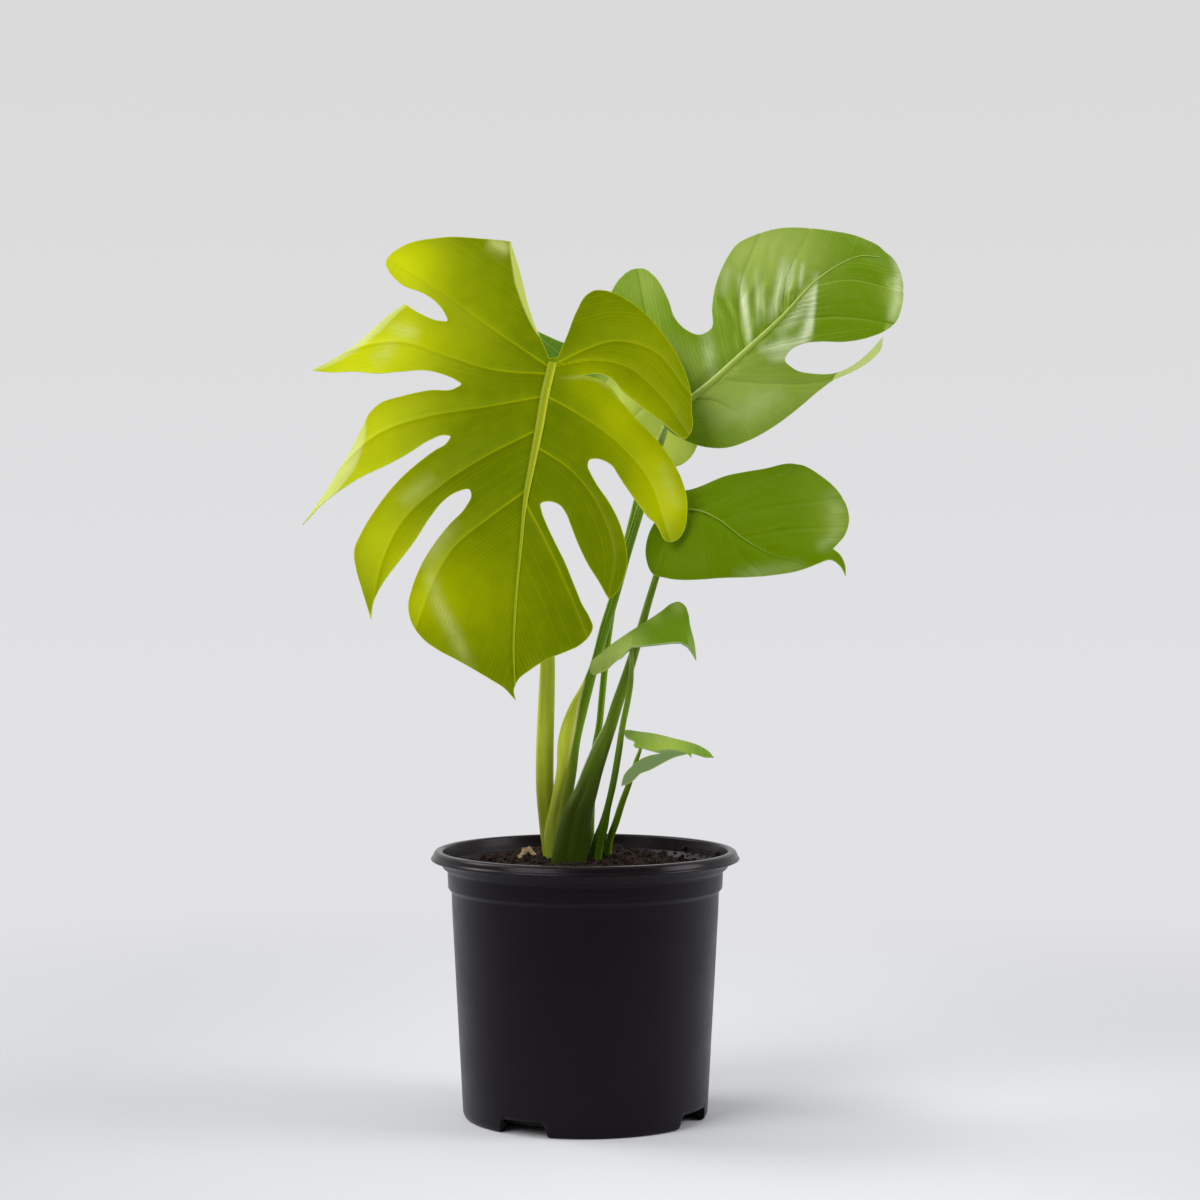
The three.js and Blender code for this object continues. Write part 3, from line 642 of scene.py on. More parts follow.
# ---- the pot ----------------------------------------------------------------------------------
@dataclass
class Pot:
    """The nursery pot: one moulded wall with a rolled lip, a collar, a foot and drainage notches."""

    height: float = 219.0
    lip_radius: float = 127.0
    mouth_radius: float = 118.0
    band_radius: float = 113.2
    body_top_radius: float = 110.0
    base_radius: float = 100.8
    wall: float = 2.2
    pad_radius: float = 30.0
    floor_lift: float = 6.0
    foot_inner_radius: float = 92.0
    corner_radius: float = 0.55
    notch_height: float = 12.0
    notch_taper: float = 0.86
    notch_rounding: float = 2.5
    notch_reach: float = 6.0
    notch_angles: tuple[float, ...] = (-120.0, -28.0, 60.0, 150.0)
    notch_half_angle: float = 13.0
    segments: int = 176

    @property
    def floor(self) -> float:
        """The height of the floor inside, in millimetres."""
        return self.floor_lift + self.wall

    def profile(self) -> list[tuple[float, float]]:
        """Draws the wall's section.

        Returns:
            Radii and heights in millimetres, from the axis below to the axis above.
        """
        base, top, band = self.base_radius, self.body_top_radius, self.band_radius
        mouth, lip, wall, floor = self.mouth_radius, self.lip_radius, self.wall, self.floor
        return [
            (0, 0), (self.pad_radius, 0), (self.pad_radius + 3, self.floor_lift),
            (self.foot_inner_radius, self.floor_lift), (self.foot_inner_radius + 2, 0), (base - 3.5, 0),
            (base - 1, 1.2), (base, 4.5), (base + 0.6, 16), (base + 1.5, 33), (top - 0.6, 168), (top, 185),
            (band - 0.4, 188.5), (band, 200.5), (band + 0.5, 202.4), (band + 3.4, 204.6),
            (band + 4.4, 206.2), (mouth + 1.2, 208.6), (lip - 0.6, 211.2), (lip, 212.0), (lip - 0.5, 213.0),
            (lip - 1.6, 214.4), (lip - 2.2, 216.4), (lip - 3.2, 218.0), (lip - 5.0, self.height),
            (mouth + 0.6, self.height), (mouth - 0.8, self.height - 1.1), (mouth - wall, 207.4),
            (band - wall, 203), (band - wall - 0.4, 190.3), (top - wall, 186.2), (top - 0.6 - wall, 168),
            (base + 1.5 - wall, 33), (base + 0.4 - wall, 16), (base - wall, floor + 2.6),
            (base - wall - 2.4, floor), (self.pad_radius + 2, floor), (self.pad_radius - 1, wall), (0, wall),
        ]

    def inner_radius(self, height: float) -> float:
        """Gives the wall's inner radius at a height above the collar, in millimetres."""
        low, high = self.band_radius - self.wall, self.mouth_radius - self.wall
        return float(np.interp(height, (203.0, 207.4), (low, high)))

    def build(self) -> None:
        """Spins and bevels the wall, and cuts its notches."""
        bm = spun(self.profile(), self.segments)
        station = bm.verts.layers.int["station"]
        corners = [edge for edge in bm.edges if edge.verts[0][station] == edge.verts[1][station]]
        round_off(bm, corners, self.corner_radius * MM, 3)
        for face in bm.faces:
            face.smooth = True
        wall = finished_piece("pot_wall", bm, [NurseryPlastic().make()])
        cutters = [self.notch_cutter(angle) for angle in self.notch_angles]
        for cutter in cutters:
            cut = wall.modifiers.new("notch", "BOOLEAN")
            cut.operation, cut.solver, cut.object = "DIFFERENCE", "EXACT", cutter
        depsgraph = bpy.context.evaluated_depsgraph_get()
        carved = bpy.data.meshes.new_from_object(wall.evaluated_get(depsgraph))
        wall.modifiers.clear()
        wall.data = carved
        for cutter in cutters:
            bpy.data.objects.remove(cutter)
        seat(wall, "pot_plastic", "pot")

    def notch_cutter(self, angle: float) -> Object:
        """Makes the block that cuts one notch.

        Args:
            angle: The notch's middle, in degrees round the axis.

        Returns:
            The block, to be removed after the cut.
        """
        across = 2 * self.base_radius * math.sin(math.radians(self.notch_half_angle))
        inner, outer = self.foot_inner_radius - self.notch_reach, self.base_radius + self.notch_reach
        bm = bmesh.new()
        size = Matrix.Diagonal((outer - inner, across, 2 * self.notch_height, 1.0))
        bmesh.ops.create_cube(bm, size=1.0, matrix=Matrix.Translation(((inner + outer) / 2, 0, 0)) @ size)
        for vert in bm.verts:
            vert.co.y *= self.notch_taper if vert.co.z > 0 else 2 - self.notch_taper
        top = [edge for edge in bm.edges if all(vert.co.z > 0 for vert in edge.verts)
               and abs(edge.verts[0].co.x - edge.verts[1].co.x) > 1]
        round_off(bm, top, self.notch_rounding, 4)
        bm.transform(Matrix.Scale(MM, 4) @ Matrix.Rotation(math.radians(angle), 4, "Z"))
        return finished_piece("notch_cutter", bm, [])


# ---- the soil ---------------------------------------------------------------------------------
def tumbled(draw: Random) -> Matrix:
    """Draws a turn about all three axes."""
    return Euler([draw.uniform(0, math.tau) for _ in range(3)]).to_matrix().to_4x4()


def rough_ball(bm: BMesh, draw: Random, matrix: Matrix, unevenness: float, shade: float) -> None:
    """Adds a rough ball.

    Args:
        bm: The mesh that the ball is added to, with a shade for each vertex.
        draw: The source of chance.
        matrix: The place, turn and size of a ball with a radius of one.
        unevenness: How far each vertex may stray, in millimetres.
        shade: How light the ball is.
    """
    layer = bm.verts.layers.float["shade"]
    for vert in bmesh.ops.create_icosphere(bm, subdivisions=1, radius=1.0, matrix=matrix)["verts"]:
        vert.co += Vector([draw.uniform(-unevenness, unevenness) * MM for _ in range(3)])
        vert[layer] = shade


@dataclass
class Soil:
    """The potting mix: a mounded bed, loose crumbs and rootlets, and a chip of bark.

    The lengths are in millimetres. hollow is the middle, radius and depth of a dip in the bed.
    """

    pot: Pot
    edge_height: float = 202.0
    mound: float = 9.0
    slope: float = 0.12
    hollow: tuple[float, float, float, float] = (82.0, 34.0, 38.0, 5.0)
    gap: float = 0.35
    ring_step: float = 1.3
    segments: int = 240
    crumbs: int = 3600
    fibres: int = 170
    strays: int = 150
    batch: int = 50
    seed: int = 7
    chip_place: tuple[float, float, float] = (-50.0, 18.0, 212.0)
    chip_turn: tuple[float, float] = (0.95, 0.2)
    chip_thickness: float = 2.6

    def surface(self, x: float, y: float) -> float:
        """Works out the bed's height without its clods.

        Args:
            x: Millimetres to the right of the axis.
            y: Millimetres behind the axis.

        Returns:
            The height in millimetres.
        """
        share = min(1.0, math.hypot(x, y) / self.pot.band_radius)
        lumps = math.sin(x * 0.19 + 1.3) * math.cos(y * 0.23) + 0.6 * math.sin(x * 0.41 - y * 0.37)
        middle_x, middle_y, radius, depth = self.hollow
        dip = depth * math.exp(-((x - middle_x) ** 2 + (y - middle_y) ** 2) / radius**2)
        mound = (self.mound + self.slope * y) * (1 - share * share)
        return self.edge_height - dip + mound + lumps * (1 - share**4)

    def clods(self, x: float, y: float) -> float:
        """Gives how far the clods at (x, y) stand above the bed, in millimetres."""
        coarse, fine = noise.noise(Vector((x, y, 0.0)) / 7.0), noise.noise(Vector((x, y, 40.0)) / 2.4)
        return 1.3 * coarse + 0.8 * fine

    def build(self) -> None:
        """Builds the bed, the crumbs, the rootlets and the chip of bark."""
        mix = EarthFinish("peat_potting_mix", "#080503", "#553926", grain=1.6).make()
        self.build_bed(mix)
        self.build_litter(mix)
        self.build_chip()

    def build_bed(self, mix: Material) -> None:
        """Spins the bed and roughens its top.

        Args:
            mix: The potting mix's material.
        """
        inset, foot = self.pot.wall + self.gap, self.pot.floor + 3
        edge = self.pot.band_radius - inset
        rings = math.ceil(edge / self.ring_step)
        top = [(edge * i / rings, self.edge_height) for i in range(rings + 1)]
        side = [(edge - 0.4, 190.6), (self.pot.body_top_radius - inset, 186.2),
                (self.pot.base_radius - inset, foot), (0, foot)]
        bm = spun(top + side, self.segments)
        shade = bm.verts.layers.float.new("shade")
        for vert in bm.verts:
            x, y = vert.co.x / MM, vert.co.y / MM
            if vert.co.z > (self.edge_height - 1) * MM and math.hypot(x, y) <= edge + 0.01:
                rise = self.clods(x, y)
                vert.co.z = (self.surface(x, y) + rise) * MM
                vert[shade] = 0.01 + 0.02 * rise
        seat(finished_piece("soil_bed", bm, [mix]), "potting_soil", "soil")

    def build_litter(self, mix: Material) -> None:
        """Scatters crumbs and rootlets over the bed, in batches that bmesh fills quickly.

        Args:
            mix: The potting mix's material.
        """
        draw = Random(self.seed)
        litter = bmesh.new()
        kinds = [self.crumb] * self.crumbs + [self.rootlet] * self.fibres + [self.stray] * self.strays
        for first in range(0, len(kinds), self.batch):
            batch = bmesh.new()
            batch.verts.layers.float.new("shade")
            for kind in kinds[first:first + self.batch]:
                kind(batch, draw)
            carrier = bpy.data.meshes.new("batch")
            batch.to_mesh(carrier)
            batch.free()
            litter.from_mesh(carrier)
            bpy.data.meshes.remove(carrier)
        seat(finished_piece("soil_crumbs", litter, [mix]), "potting_soil")

    def spot(self, draw: Random) -> tuple[float, float, float]:
        """Draws a place on the bed.

        Args:
            draw: The source of chance.

        Returns:
            The place in millimetres.
        """
        radius = (self.pot.band_radius - self.pot.wall - 3) * math.sqrt(draw.random())
        angle = draw.uniform(0, math.tau)
        x, y = radius * math.cos(angle), radius * math.sin(angle)
        return x, y, self.surface(x, y) + self.clods(x, y)

    def crumb(self, bm: BMesh, draw: Random) -> None:
        """Adds a crumb of peat, a rough ball 1 to 6 mm across.

        Args:
            bm: The mesh that the crumb is added to.
            draw: The source of chance.
        """
        x, y, z = self.spot(draw)
        size = 0.45 + 2.4 * draw.random() ** 4
        shade = draw.uniform(0.3, 0.75) if draw.random() < 0.06 else 0.14 * draw.random() ** 2
        turn = tumbled(draw)
        shape = Matrix.Diagonal([size * draw.uniform(0.6, 1.3) * MM for _ in range(3)] + [1.0])
        place = Matrix.Translation(Vector((x, y, z + 0.35 * size)) * MM)
        rough_ball(bm, draw, place @ turn @ shape, 0.22 * size, shade)

    def stray(self, bm: BMesh, draw: Random) -> None:
        """Adds a crumb that clings to the pot's inner wall, above the bed.

        Args:
            bm: The mesh that the crumb is added to.
            draw: The source of chance.
        """
        angle = math.radians(draw.gauss(38, 22))
        height = 200 + 12 * draw.random() ** 1.5
        size = 0.5 + 1.3 * draw.random() ** 3
        radius = self.pot.inner_radius(height) - 0.4 * size
        place = Matrix.Translation(Vector((radius * math.cos(angle), radius * math.sin(angle), height)) * MM)
        matrix = place @ tumbled(draw) @ Matrix.Scale(size * MM, 4)
        rough_ball(bm, draw, matrix, 0.25 * size, draw.uniform(0.1, 0.6))

    def rootlet(self, bm: BMesh, draw: Random) -> None:
        """Adds a bent fibre of coir or bark, 3 to 11 mm long.

        Args:
            bm: The mesh that the fibre is added to.
            draw: The source of chance.
        """
        x, y, z = self.spot(draw)
        length, thick = draw.uniform(3, 11), draw.uniform(0.14, 0.42)
        turn = Euler((math.pi / 2 + draw.uniform(-0.35, 0.35), 0.0, draw.uniform(0, math.tau)))
        middle = Vector((x, y, z + 0.8)) * MM
        before = len(bm.verts)
        cone = bmesh.ops.create_cone(bm, cap_ends=True, segments=5, radius1=thick * MM,
                                     radius2=0.5 * thick * MM, depth=length * MM,
                                     matrix=Matrix.LocRotScale(middle, turn, None))
        edges = {edge for vert in cone["verts"] for edge in vert.link_edges}
        lengthwise = [edge for edge in edges if edge.calc_length() > 0.6 * length * MM]
        bmesh.ops.subdivide_edges(bm, edges=lengthwise, cuts=3)
        bm.verts.ensure_lookup_table()
        bend = Vector((draw.uniform(-1, 1), draw.uniform(-1, 1), draw.uniform(-0.2, 0.7))) * 0.12 * length
        shade = draw.uniform(0.35, 0.9)
        layer = bm.verts.layers.float["shade"]
        for vert in bm.verts[before:]:
            reach = (vert.co - middle).length / (0.5 * length * MM)
            vert.co += bend * (1 - min(1.0, reach) ** 2) * MM
            vert[layer] = shade

    def build_chip(self) -> None:
        """Splits a slab of bark into its broken outline and lays it on the bed, tilted up."""
        outline = [(-9.5, -5.0), (-4.5, -4.2), (-1.0, -6.0), (3.5, -4.6), (7.0, -5.5), (9.0, 0.5),
                   (6.2, 4.0), (4.4, 8.0), (1.2, 6.2), (-1.6, 6.6), (-3.4, 1.6), (-6.8, -0.8)]
        bm = bmesh.new()
        shade = bm.verts.layers.float.new("shade")
        face = bm.faces.new([bm.verts.new((x, y, -0.6)) for x, y in outline])
        made = bmesh.ops.extrude_face_region(bm, geom=[face])["geom"]
        raised = [item for item in made if isinstance(item, BMVert)]
        bmesh.ops.translate(bm, verts=raised, vec=(0, 0, self.chip_thickness))
        round_off(bm, bm.edges[:], 0.2, 1)
        bmesh.ops.triangulate(bm, faces=bm.faces)
        bmesh.ops.subdivide_edges(bm, edges=bm.edges, cuts=3, use_grid_fill=True)
        bmesh.ops.recalc_face_normals(bm, faces=bm.faces)
        bm.normal_update()
        for vert in bm.verts:
            ridge = noise.noise(Vector((vert.co.x * 0.15, vert.co.y * 1.1, vert.co.z * 0.9)))
            vert.co += vert.normal * (0.35 * ridge + 0.15 * noise.noise(vert.co * 1.4))
            vert[shade] = 0.35 + 0.7 * ridge
        tilt, spin = self.chip_turn
        turn = Matrix.Rotation(spin, 4, "Z") @ Matrix.Rotation(tilt, 4, "X")
        bm.transform(Matrix.Scale(MM, 4) @ Matrix.Translation(self.chip_place) @ turn)
        bark = EarthFinish("pine_bark_heartwood", "#6a4c30", "#cfb98e", (0.3, 1.4, 1.0), 1.0, 0.85).make()
        seat(finished_piece("bark_chip_piece", bm, [bark]), "bark", "bark_chip")


# ---- leaf stalks ------------------------------------------------------------------------------
@dataclass(frozen=True)
class Groove:
    """A line down a stalk: an angle, or None along the sheath's edge, a depth share and how it fades."""

    angle: float | None
    depth: float
    width: float
    top: float
    bottom: float

    def press(self, angles: Array, down: Array, edge: Array) -> Array:
        """Gives the groove's depth share.

        Args:
            angles: Degrees round the stalk.
            down: Steps down the front view, for each ring.
            edge: The sheath's edge, in degrees, for each ring.

        Returns:
            The share, as rings by columns.
        """
        apart = turn_from(edge if self.angle is None else self.angle, angles)
        fade = unit((down - self.top) / 18) * unit((self.bottom - down) / 30)
        return self.depth * bell(apart, self.width) * fade


@dataclass
class Stalk:
    """A leaf stalk: a tapering tube whose low end is the sheath that it grows out of.

    Stations are x and y in the front view, the depth, and half the width across and through.
    sheath_edge lists places of the front view down the sheath's right edge; where it is empty, the
    edge lies at the angle sheath_right. margin is where a pale line starts and ends down the view,
    and a margin_angle of None is along the sheath's edge. The stalk's height is counted from the
    row foot_row of the view, over height_run steps.
    """

    name: str
    slot: str
    finish: StalkFinish
    stations: list[tuple[float, ...]]
    grooves: tuple[Groove, ...] = ()
    sheath_top: float = 2000.0
    sheath_right: float = -45.0
    sheath_edge: tuple[tuple[float, float], ...] = ()
    margin: tuple[float, float] = (0.0, 0.0)
    margin_angle: float | None = 186.0
    margin_shift: float = 0.0
    margin_width: float = 13.0
    margin_share: float = 0.8
    pale_top: float = 0.0
    pale_run: float = 34.0
    foot_row: float = 860.0
    height_run: float = 360.0
    fibre_width: float = 0.8
    fibre_length: float = 30.0
    sides: int = 36
    spacing: float = 2.4

    def build(self) -> None:
        """Lofts the stalk and marks its sheath and margins."""
        knots = np.array(self.stations, float)
        points = VIEW.seen(knots[:, 0], knots[:, 1], knots[:, 2])
        rows = smooth_through(np.column_stack([points, knots[:, 3:], knots[:, 1::-1]]), self.spacing, 3)
        path, (across, deep, down, middle) = rows[:, :3], rows[:, 3:].T
        tangents = directions(np.gradient(path, axis=0))
        sides = directions(np.array([1.0, 0.0, 0.0]) - tangents * tangents[:, :1])
        angles = np.linspace(0, 360, self.sides, endpoint=False)
        edge = self.edge_angles(down, middle, across)
        presses = (groove.press(angles[None, :], down[:, None], edge[:, None]) for groove in self.grooves)
        shape = 1 - sum(presses, np.zeros((len(path), self.sides)))
        wide = np.cos(np.radians(angles)) * across[:, None] * shape
        thick = np.sin(np.radians(angles)) * deep[:, None] * shape
        along = np.concatenate([[0.0], np.cumsum(np.linalg.norm(np.diff(path, axis=0), axis=1))])
        bm = bmesh.new()
        loft(bm, rings_round(path, sides, np.cross(tangents, sides), wide, thick),
             self.marks(angles, down, along, across, edge))
        bmesh.ops.recalc_face_normals(bm, faces=bm.faces)
        seat(finished_piece(self.name + "_skin", bm, [self.finish.make()]), self.slot, self.name)

    def edge_angles(self, down: Array, middle: Array, across: Array) -> Array:
        """Finds the sheath's right edge on each ring.

        Args:
            down: Steps down the front view, for each ring.
            middle: Steps to the right in the front view, for each ring.
            across: Half the width of each ring.

        Returns:
            The edge's angle on each ring, in degrees.
        """
        if not self.sheath_edge:
            return np.full(len(down), self.sheath_right)
        line = np.array(self.sheath_edge, float)
        offset = (np.interp(down, line[:, 1], line[:, 0]) - middle) * VIEW.step / across
        return -np.degrees(np.arccos(np.clip(offset, -1, 1)))

    def marks(self, angles: Array, down: Array, along: Array, across: Array,
              edge: Array) -> dict[str, Array]:
        """Works out the values that the skin's colours read.

        Args:
            angles: Degrees round the stalk, 270 towards the viewer.
            down: Steps down the front view, for each ring.
            along: Millimetres along the stalk, for each ring.
            across: Half the width of each ring.
            edge: The sheath's right edge, in degrees, for each ring.

        Returns:
            Named values, as rings by columns.
        """
        grid = np.ones((len(along), len(angles)))
        turn = turn_from(edge[:, None], angles[None, :])
        left = unit(0.5 - turn / 12) * unit((turn + 175) / 12)
        top, bottom = self.margin
        middle = (edge[:, None] if self.margin_angle is None else self.margin_angle) + self.margin_shift
        line = bell(turn_from(middle, angles[None, :]), self.margin_width)
        fade = unit((down - top) / 4) * unit((bottom - down) / 30)
        tip = unit(1 - (down - down[-1]) / self.pale_run)
        return {
            "height": unit((self.foot_row - down) / self.height_run)[:, None] * grid,
            "sheath": unit((down - self.sheath_top) / 10)[:, None] * left,
            "pale": np.maximum(line * fade[:, None] * self.margin_share, tip[:, None] * self.pale_top * grid),
            "around": np.radians(angles) * grid * float(across.mean()) / self.fibre_width,
            "along": along[:, None] * grid / self.fibre_length,
        }


# ---- leaf blades ------------------------------------------------------------------------------
@dataclass(frozen=True)
class Half:
    """How one half of a blade rises from the midrib and droops, or that it folds to the front."""

    rise: float = 0.0
    droop: float = 0.0
    folded: bool = False


class Side(Enum):
    """The side of the midrib's line that a vein runs out on, seen from the base."""

    LEFT = 1
    RIGHT = -1


@dataclass(frozen=True)
class RolledEdge:
    """A stretch of edge that rolls back, widest at the share peak of its length.

    pale is how strongly it takes the blade's turned colour: the underside's own colour where a strip
    turns to the viewer, and a painted sheen where an edge rolls away.
    """

    line: tuple[tuple[float, float], ...]
    width: float
    drop: float
    peak: float = 0.5
    pale: float = 1.0

    def measure(self, points: Array) -> tuple[Array, Array]:
        """Measures points against the roll.

        Args:
            points: One (x, y) row of the front view for each point.

        Returns:
            How far into the roll each point lies, from 0 outside it to 1 at the edge, and the roll's
            share of its full width there.
        """
        near, _, share = line_distance(points, smooth_through(self.line, 3.0))
        reach = np.sqrt(unit(np.minimum(share / self.peak, (1 - share) / (1 - self.peak))))
        return unit(1 - near / (self.width * reach + 0.01)), reach


@dataclass(frozen=True)
class Relief:
    """How far a blade's skin stands out of its middle surface, in millimetres.

    quilt is the swelling between the veins, or the hang where it is less than 0. It is whole where
    veins lie full_gap apart, starts bare_rib from the midrib, and is mostly gone at the edge.
    ripple is the pleats' height, strongest at ripple_place, given as x, y and radius in the view.
    """

    quilt: float = 0.8
    vein_rise: float = -0.45
    vein_width: float = 1.5
    ripple: float = 0.0
    ripple_place: tuple[float, float, float] = (0.0, 0.0, 1.0)
    wave: float = 0.8
    full_gap: float = 45.0
    bare_rib: float = 7.0
    furrow: float = 0.8
    furrow_width: float = 5.0
    edge_loss: float = 0.7
    edge_run: float = 6.0
    wave_reach: float = 14.0

    def height(self, marks: dict[str, Array], points: Array) -> Array:
        """Works out the relief.

        Args:
            marks: The blade's marks for each point.
            points: One (x, y) row of the front view for each point.

        Returns:
            Millimetres out of the middle surface, for each point.
        """
        from_rib, from_edge, gap = marks["rib_distance"], marks["edge_distance"], marks["vein_gap"]
        between = ping_pong(marks["main_vein"])
        height = self.quilt * np.sin(np.pi * between) * unit(gap / self.full_gap)
        height *= 1 - bell(from_rib, self.bare_rib)
        height *= 1 - self.edge_loss * np.exp(-from_edge / self.edge_run)
        height += self.vein_rise * bell(between * gap, self.vein_width)
        height -= self.furrow * bell(from_rib, self.furrow_width)
        drift = np.array([noise.noise(Vector((x, y, 3.0)) / 26) for x, y in points])
        waves = np.array([noise.noise(Vector((x, y, 9.0)) / 34) for x, y in points])
        swing = np.cos(2 * np.pi * (marks["fine_vein"] / 4 + 0.5 * drift)) * (0.7 + drift)
        *place, radius = self.ripple_place
        near = bell(np.linalg.norm(points - place, axis=1), radius)
        height += self.ripple * swing * near * unit(from_rib / 4)
        return height + self.wave * waves * np.exp(-from_edge / self.wave_reach)


@dataclass
class Blade:
    """A leaf blade, given by its outline, midrib and veins in the front view.

    A point of the outline marked TIP is a sharp corner, and the others lie on smooth curves.
    depth, lean and bow place the midrib's line from front to back. rib_shape gives the midrib's
    thickness in even steps along it, and a rib_radius less than 0 puts its strong side at the back.
    painted_lighting lists soft patches of painted light, and of painted shade where the strength is
    below 0, as x, y, radius and strength. painted_sheen lists streaks of painted sheen, as the places
    along each, its width and its strength. bends lists lines beyond which the blade falls back, as x,
    y, x, y and slope.
    """

    name: str
    slot: str
    base: tuple[float, float]
    toward: tuple[float, float]
    depth: float
    lean: float
    bow: float
    back_bow: float
    left: Half
    right: Half
    rib: list[tuple[float, float]]
    rib_radius: float
    outline: list[tuple[float, ...]]
    finish: BladeFinish
    underside: BladeFinish
    rib_finish: RibFinish
    relief: Relief
    veins: tuple[tuple[Side, list[tuple[float, float]]], ...] = ()
    turned: tuple[RolledEdge, ...] = ()
    painted_lighting: tuple[tuple[float, ...], ...] = ()
    painted_sheen: tuple[tuple[float, ...], ...] = ()
    bends: tuple[tuple[float, ...], ...] = ()
    rib_shape: tuple[float, ...] = (1.0, 0.8, 0.6, 0.42, 0.28, 0.18, 0.12)
    grid: float = 1.8
    fine_spacing: float = 3.0
    thickness: float = 0.6
    crease: float = 55.0

    def along_across(self, points: Array) -> tuple[Array, Array]:
        """Places points along the blade's line and across it.

        Args:
            points: One (x, y) row of the front view for each point.

        Returns:
            Millimetres along and across, for each point.
        """
        base, toward = np.array(self.base), np.array(self.toward)
        run = (toward - base) / np.linalg.norm(toward - base)
        away = (points - base) * VIEW.step
        return away @ run, away[:, 0] * run[1] - away[:, 1] * run[0]

    def from_rib(self, points: Array) -> tuple[Array, Array]:
        """Places points along the blade's line and to either side of the midrib.

        Args:
            points: One (x, y) row of the front view for each point.

        Returns:
            Millimetres along the line and off the midrib, for each point.
        """
        along, across = self.along_across(points)
        return along, across - np.interp(along, *self.along_across(np.array(self.rib, float)))

    def surface(self, points: Array) -> Array:
        """Finds the blade's middle surface where it is seen at the points.

        Args:
            points: One (x, y) row of the front view for each point.

        Returns:
            One row of millimetres for each point.
        """
        along, side = self.from_rib(points)
        middle = self.depth + self.lean * along + np.where(along > 0, self.bow, self.back_bow) * along**2
        out = VIEW.seen(points[:, 0], points[:, 1], middle)
        for half, chosen in ((self.left, side > 0), (self.right, side <= 0)):
            if half.folded:
                low = VIEW.seen(points[:, 0], points[:, 1] + side / VIEW.step, middle + side)
            else:
                depth = middle + half.rise * np.abs(side) + half.droop * side**2
                for roll in self.turned:
                    inside, reach = roll.measure(points)
                    depth = depth + roll.drop * reach * inside**2
                for bend in self.bends:
                    depth = depth + bend[-1] * VIEW.step * np.clip(self.past(points, bend), 0, None)
                low = VIEW.seen(points[:, 0], points[:, 1], depth)
            out = np.where(chosen[:, None], low, out)
        return out

    def past(self, points: Array, bend: tuple[float, ...]) -> Array:
        """Measures how far points of the front view lie beyond a bend's line.

        Args:
            points: One (x, y) row for each point.
            bend: The line's x, y, x and y, and its slope.

        Returns:
            Steps of the view for each point, less than 0 before the line.
        """
        start, run = np.array(bend[:2]), np.array(bend[2:4]) - np.array(bend[:2])
        away = points - start
        return (away[:, 0] * run[1] - away[:, 1] * run[0]) / np.linalg.norm(run)

    def outline_points(self) -> Array:
        """Joins the outline's corners by smooth curves through the points between them.

        Returns:
            One (x, y) row of the front view for each point of the closed outline.
        """
        curve, run = [], []
        for point in [*self.outline, self.outline[0]]:
            run.append(point[:2])
            if len(point) > 2 and len(run) > 1:
                curve.append(smooth_through(run, 1.5)[:-1])
                run = run[-1:]
        return np.concatenate(curve)

    def vein_marks(self, points: Array) -> dict[str, Array]:
        """Numbers the blade between its veins.

        Args:
            points: One (x, y) row of the front view for each vertex.

        Returns:
            main_vein is a whole number on each side vein, vein_gap turns its change into
            millimetres, and fine_vein counts the fine veins between.
        """
        along, side = self.from_rib(points)
        main, gap = np.full(len(points), 0.5), np.full(len(points), 200.0)
        fine = along / self.fine_spacing + np.abs(side) / (3 * self.fine_spacing)
        for which in Side:
            lines = [smooth_through(line, 6.0) for vein_side, line in self.veins if vein_side is which]
            if lines:
                mine = side > 0 if which is Side.LEFT else side <= 0
                numbers = zip(self.number_side(points, lines), (main, gap, fine))
                main, gap, fine = (np.where(mine, new, old) for new, old in numbers)
        return {"main_vein": main, "vein_gap": gap, "fine_vein": fine}

    def number_side(self, points: Array, lines: list[Array]) -> tuple[Array, ...]:
        """Numbers points between the veins of one side.

        Args:
            points: One (x, y) row of the front view for each point.
            lines: The side's veins, from the base to the tip.

        Returns:
            The points' places between main veins, the gaps there and their places between fine veins.
        """
        tip = np.array([self.toward], float)
        away, passed = [], np.zeros(len(points), int)
        for line in lines:
            start, end = directions(np.array([line[0] - line[1], line[-1] - line[-2]]))
            line = np.vstack([line[0] + 20 * start, line, line[-1] + 240 * end])
            distance, hand, _ = line_distance(points, line)
            away.append(distance * VIEW.step)
            passed += hand == line_distance(tip, line)[1]
        last, index = len(lines), np.arange(len(points))
        away = np.array(away)
        before = np.clip(passed - 1, 0, last - 1)
        near, far = away[before, index], away[np.clip(passed, 0, last - 1), index]
        between = near / np.maximum(near + far, 1e-6)
        counts = []
        for number in range(last - 1):
            widths = (away[number] + away[number + 1])[passed == number + 1] / self.fine_spacing
            counts.append(max(3, round(float(np.median(widths)))) if len(widths) else 3)
        starts = np.concatenate([[0], np.cumsum(counts)])
        outside = [passed == 0, passed == last]
        spare = np.maximum(np.where(outside[0], away[min(1, last - 1)], away[max(last - 2, 0)]) - near, 8.0)
        outer = 0.5 * near / (near + 0.5 * spare)
        main = np.select(outside, [-outer, last - 1 + outer], passed - 1 + between)
        gap = np.where(outside[0] | outside[1], 2 * near + spare, near + far)
        inner = starts[before] + between * np.array([*counts, 1])[before]
        beyond = near / self.fine_spacing
        return main, gap, np.select(outside, [-beyond, starts[-1] + beyond], inner)

